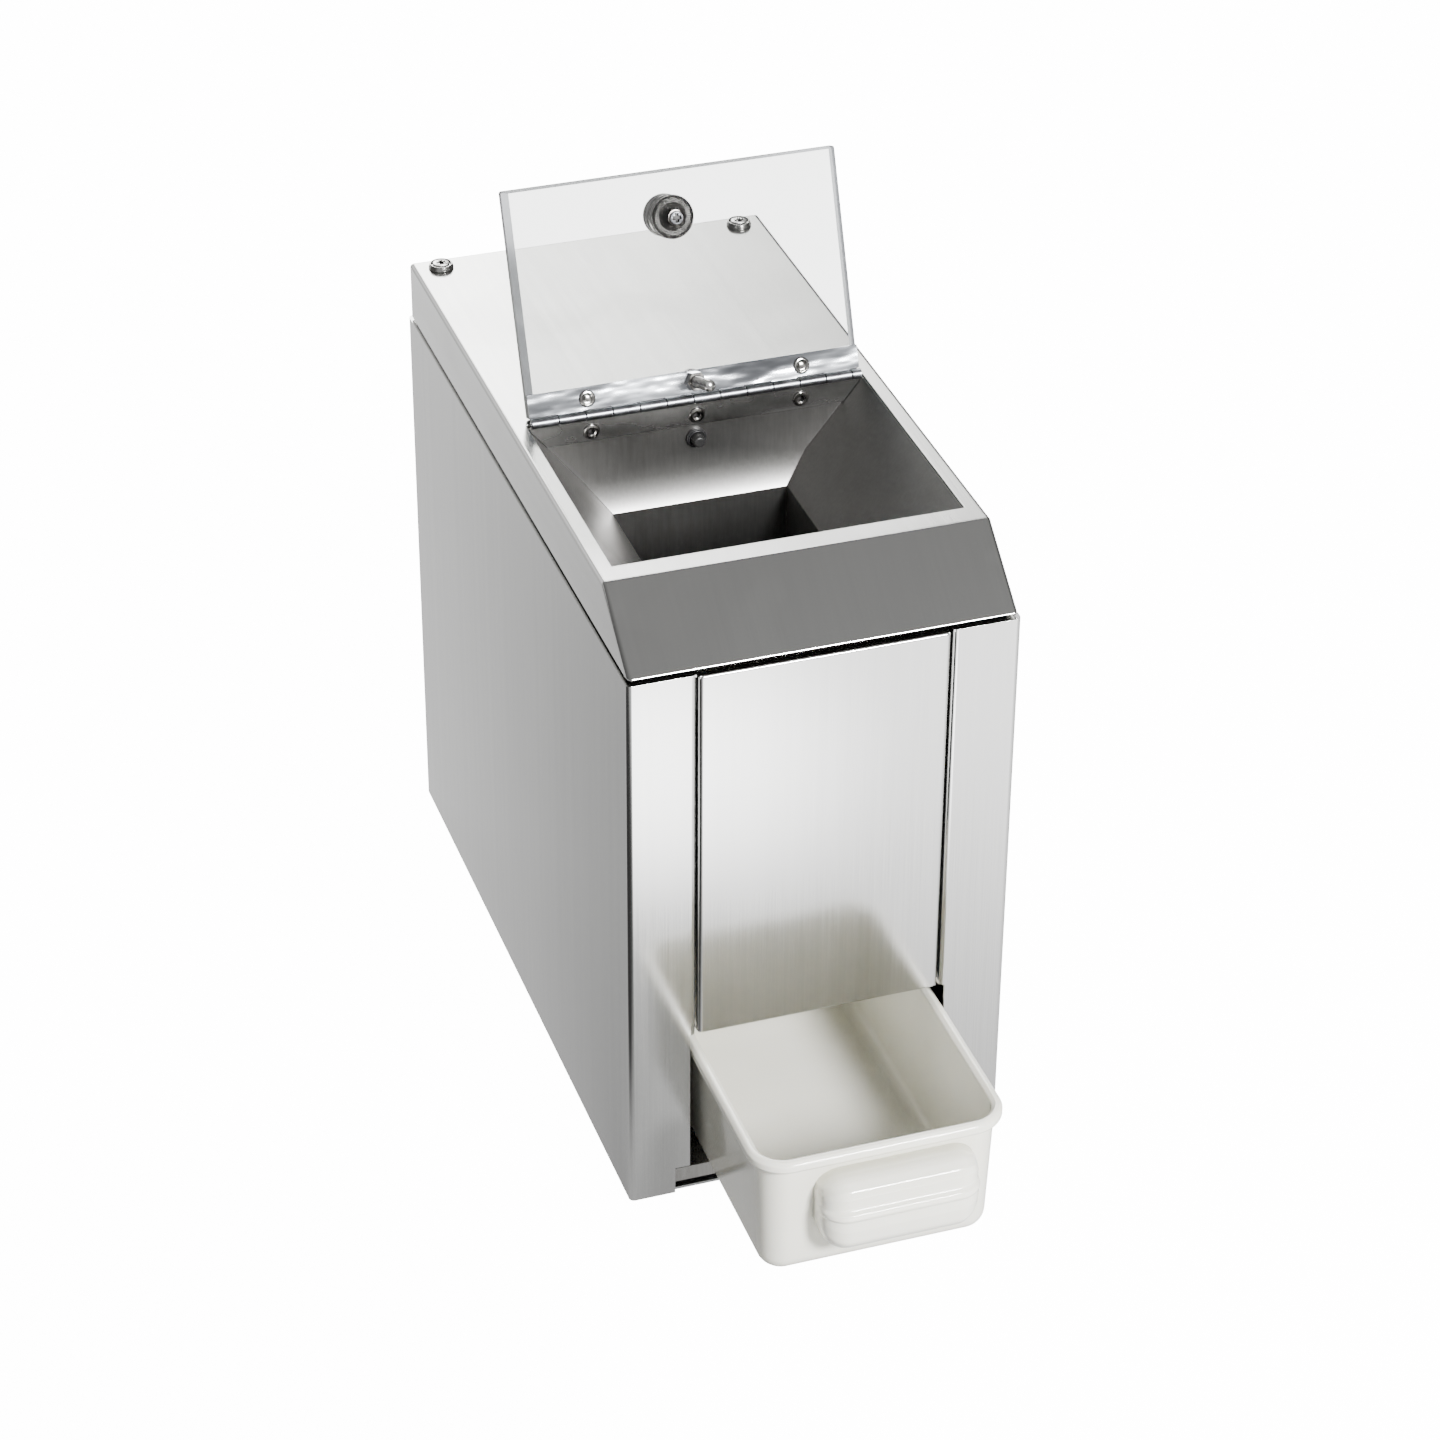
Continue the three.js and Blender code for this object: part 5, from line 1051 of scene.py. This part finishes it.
def makeFloor():
    # white where the camera sees it; elsewhere its glow is painted light and shade for the steel to mirror: a
    # bright patch in front, a painted shadow on the dim left side and a dark painted patch
    k = studio
    half = k["floorSize"] / 2
    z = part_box("foot_front_left")[0].z
    mesh = bpy.data.meshes.new("floor")
    corners = [(-half, -half, z), (half, -half, z), (half, half, z), (-half, half, z)]
    mesh.from_pydata(corners, [], [(0, 1, 2, 3)])
    floor = bpy.data.objects.new("floor", mesh)
    scene.collection.objects.link(floor)
    material, tree, shader = newMaterial("paleFloor", {
        "Roughness": 0.9, "Specular IOR Level": 0.1, "Emission Strength": 1,
    })
    place = stretched(tree)
    axes = addNode(tree, "ShaderNodeSeparateXYZ", {0: place}).outputs
    # painted shadow: the glow dims across a wedge to the left of the machine, and rises again a little further
    # left
    across = computed(tree, "SUBTRACT", k["wedgeFrom"][0], axes["X"])
    along = computed(tree, "SUBTRACT", axes["Y"], k["wedgeFrom"][1])
    wedge = spread(tree, computed(tree, "DIVIDE", across, along), *k["wedgeSlopes"], *k["wedgeGlow"])
    far = smoothFall(tree, axes["X"], *k["farSide"], 1, 1 + k["farGain"])
    # painted shade: a dark patch on the floor to the left front of the machine, dark in both albedo and glow
    shadePatch = fallFrom(tree, place, k["shadePatchPlace"], k["shadePatchReach"], k["shadePatchGlow"], 1)
    wedge = computed(tree, "MULTIPLY", computed(tree, "MULTIPLY", wedge, far), shadePatch)
    base = blended(tree, shadePatch, (k["shadePatchAlbedo"],) * 3, (k["floorAlbedo"],) * 3)
    # painted pools of light: a broad glow in front and a brighter spot just in front of the tub
    front = fallFrom(tree, place, k["frontPlace"], k["frontReach"], k["frontGlow"], 0)
    spot = fallFrom(tree, place, k["spotPlace"], k["spotReach"], k["spotGlow"], 0)
    mirrored = computed(tree, "ADD", wedge, computed(tree, "ADD", front, spot))
    ray = addNode(tree, "ShaderNodeLightPath").outputs
    glow = blended(tree, ray["Is Transmission Ray"], mirrored, (k["throughLid"],) * 3)
    glow = blended(tree, ray["Is Camera Ray"], glow, (k["seenFloor"],) * 3)
    setInputs(tree, shader, {"Base Color": base, "Emission Color": glow})
    mesh.materials.append(material)


def makeWorld():
    # a bright soft window behind the machine, two lesser lights, a dim front wall and ceiling, and darker
    # sides; the camera itself sees plain white
    k = studio
    world = bpy.data.worlds.new("softStudio")
    scene.world = world
    world.use_nodes = True
    tree = world.node_tree
    place = addNode(tree, "ShaderNodeTexCoord").outputs["Generated"]
    axes = addNode(tree, "ShaderNodeSeparateXYZ", {0: place}).outputs
    front = smoothFall(tree, axes["Y"], *k["frontSpan"], 0, k["frontStrength"])
    above = smoothFall(tree, axes["Z"], *k["ceilingSpan"], k["sideStrength"], k["overhead"])
    total = computed(tree, "ADD", front, above)
    for direction, reach, strength in skyLights.values():
        total = computed(tree, "ADD", total, fallFrom(tree, place, direction, reach, strength, 0))
    path = addNode(tree, "ShaderNodeLightPath").outputs["Is Camera Ray"]
    hidden = computed(tree, "MULTIPLY", total, computed(tree, "SUBTRACT", 1, path))
    seen = computed(tree, "MULTIPLY", path, k["seenFloor"])
    glow = computed(tree, "ADD", hidden, seen)
    setInputs(tree, tree.nodes["Background"], {"Color": (1, 1, 1, 1), "Strength": glow})


def makeKey():
    k = studio
    data = bpy.data.lights.new("softKey", "AREA")
    data.shape = "SQUARE"
    data.size = k["keySize"]
    data.energy = k["keyPower"]
    key = bpy.data.objects.new("softKey", data)
    scene.collection.objects.link(key)
    aim = Vector(k["keyAim"]) - Vector(k["keyPlace"])
    turn = aim.to_track_quat("-Z", "Y").to_matrix().to_4x4()
    key.matrix_world = Matrix.Translation(k["keyPlace"]) @ turn


viewpoint = {
    "place": (-0.51475, -1.55113, 1.19927), "forward": (0.26950, 0.79322, -0.54605),
    "right": (0.94796, -0.31833, 0.00544), "lens": 102.5,
}


def makeCamera():
    data = bpy.data.cameras.new("camera")
    data.lens = viewpoint["lens"]
    data.sensor_width = 36
    data.clip_end = 50
    camera = bpy.data.objects.new("camera", data)
    scene.collection.objects.link(camera)
    forward = Vector(viewpoint["forward"]).normalized()
    right = Vector(viewpoint["right"])
    right = (right - forward * right.dot(forward)).normalized()
    up = right.cross(forward)
    turn = Matrix((right, up, -forward)).transposed()
    camera.matrix_world = Matrix.Translation(viewpoint["place"]) @ turn.to_4x4()
    scene.camera = camera


makeFloor()
makeWorld()
makeKey()
makeCamera()
print("studio set")
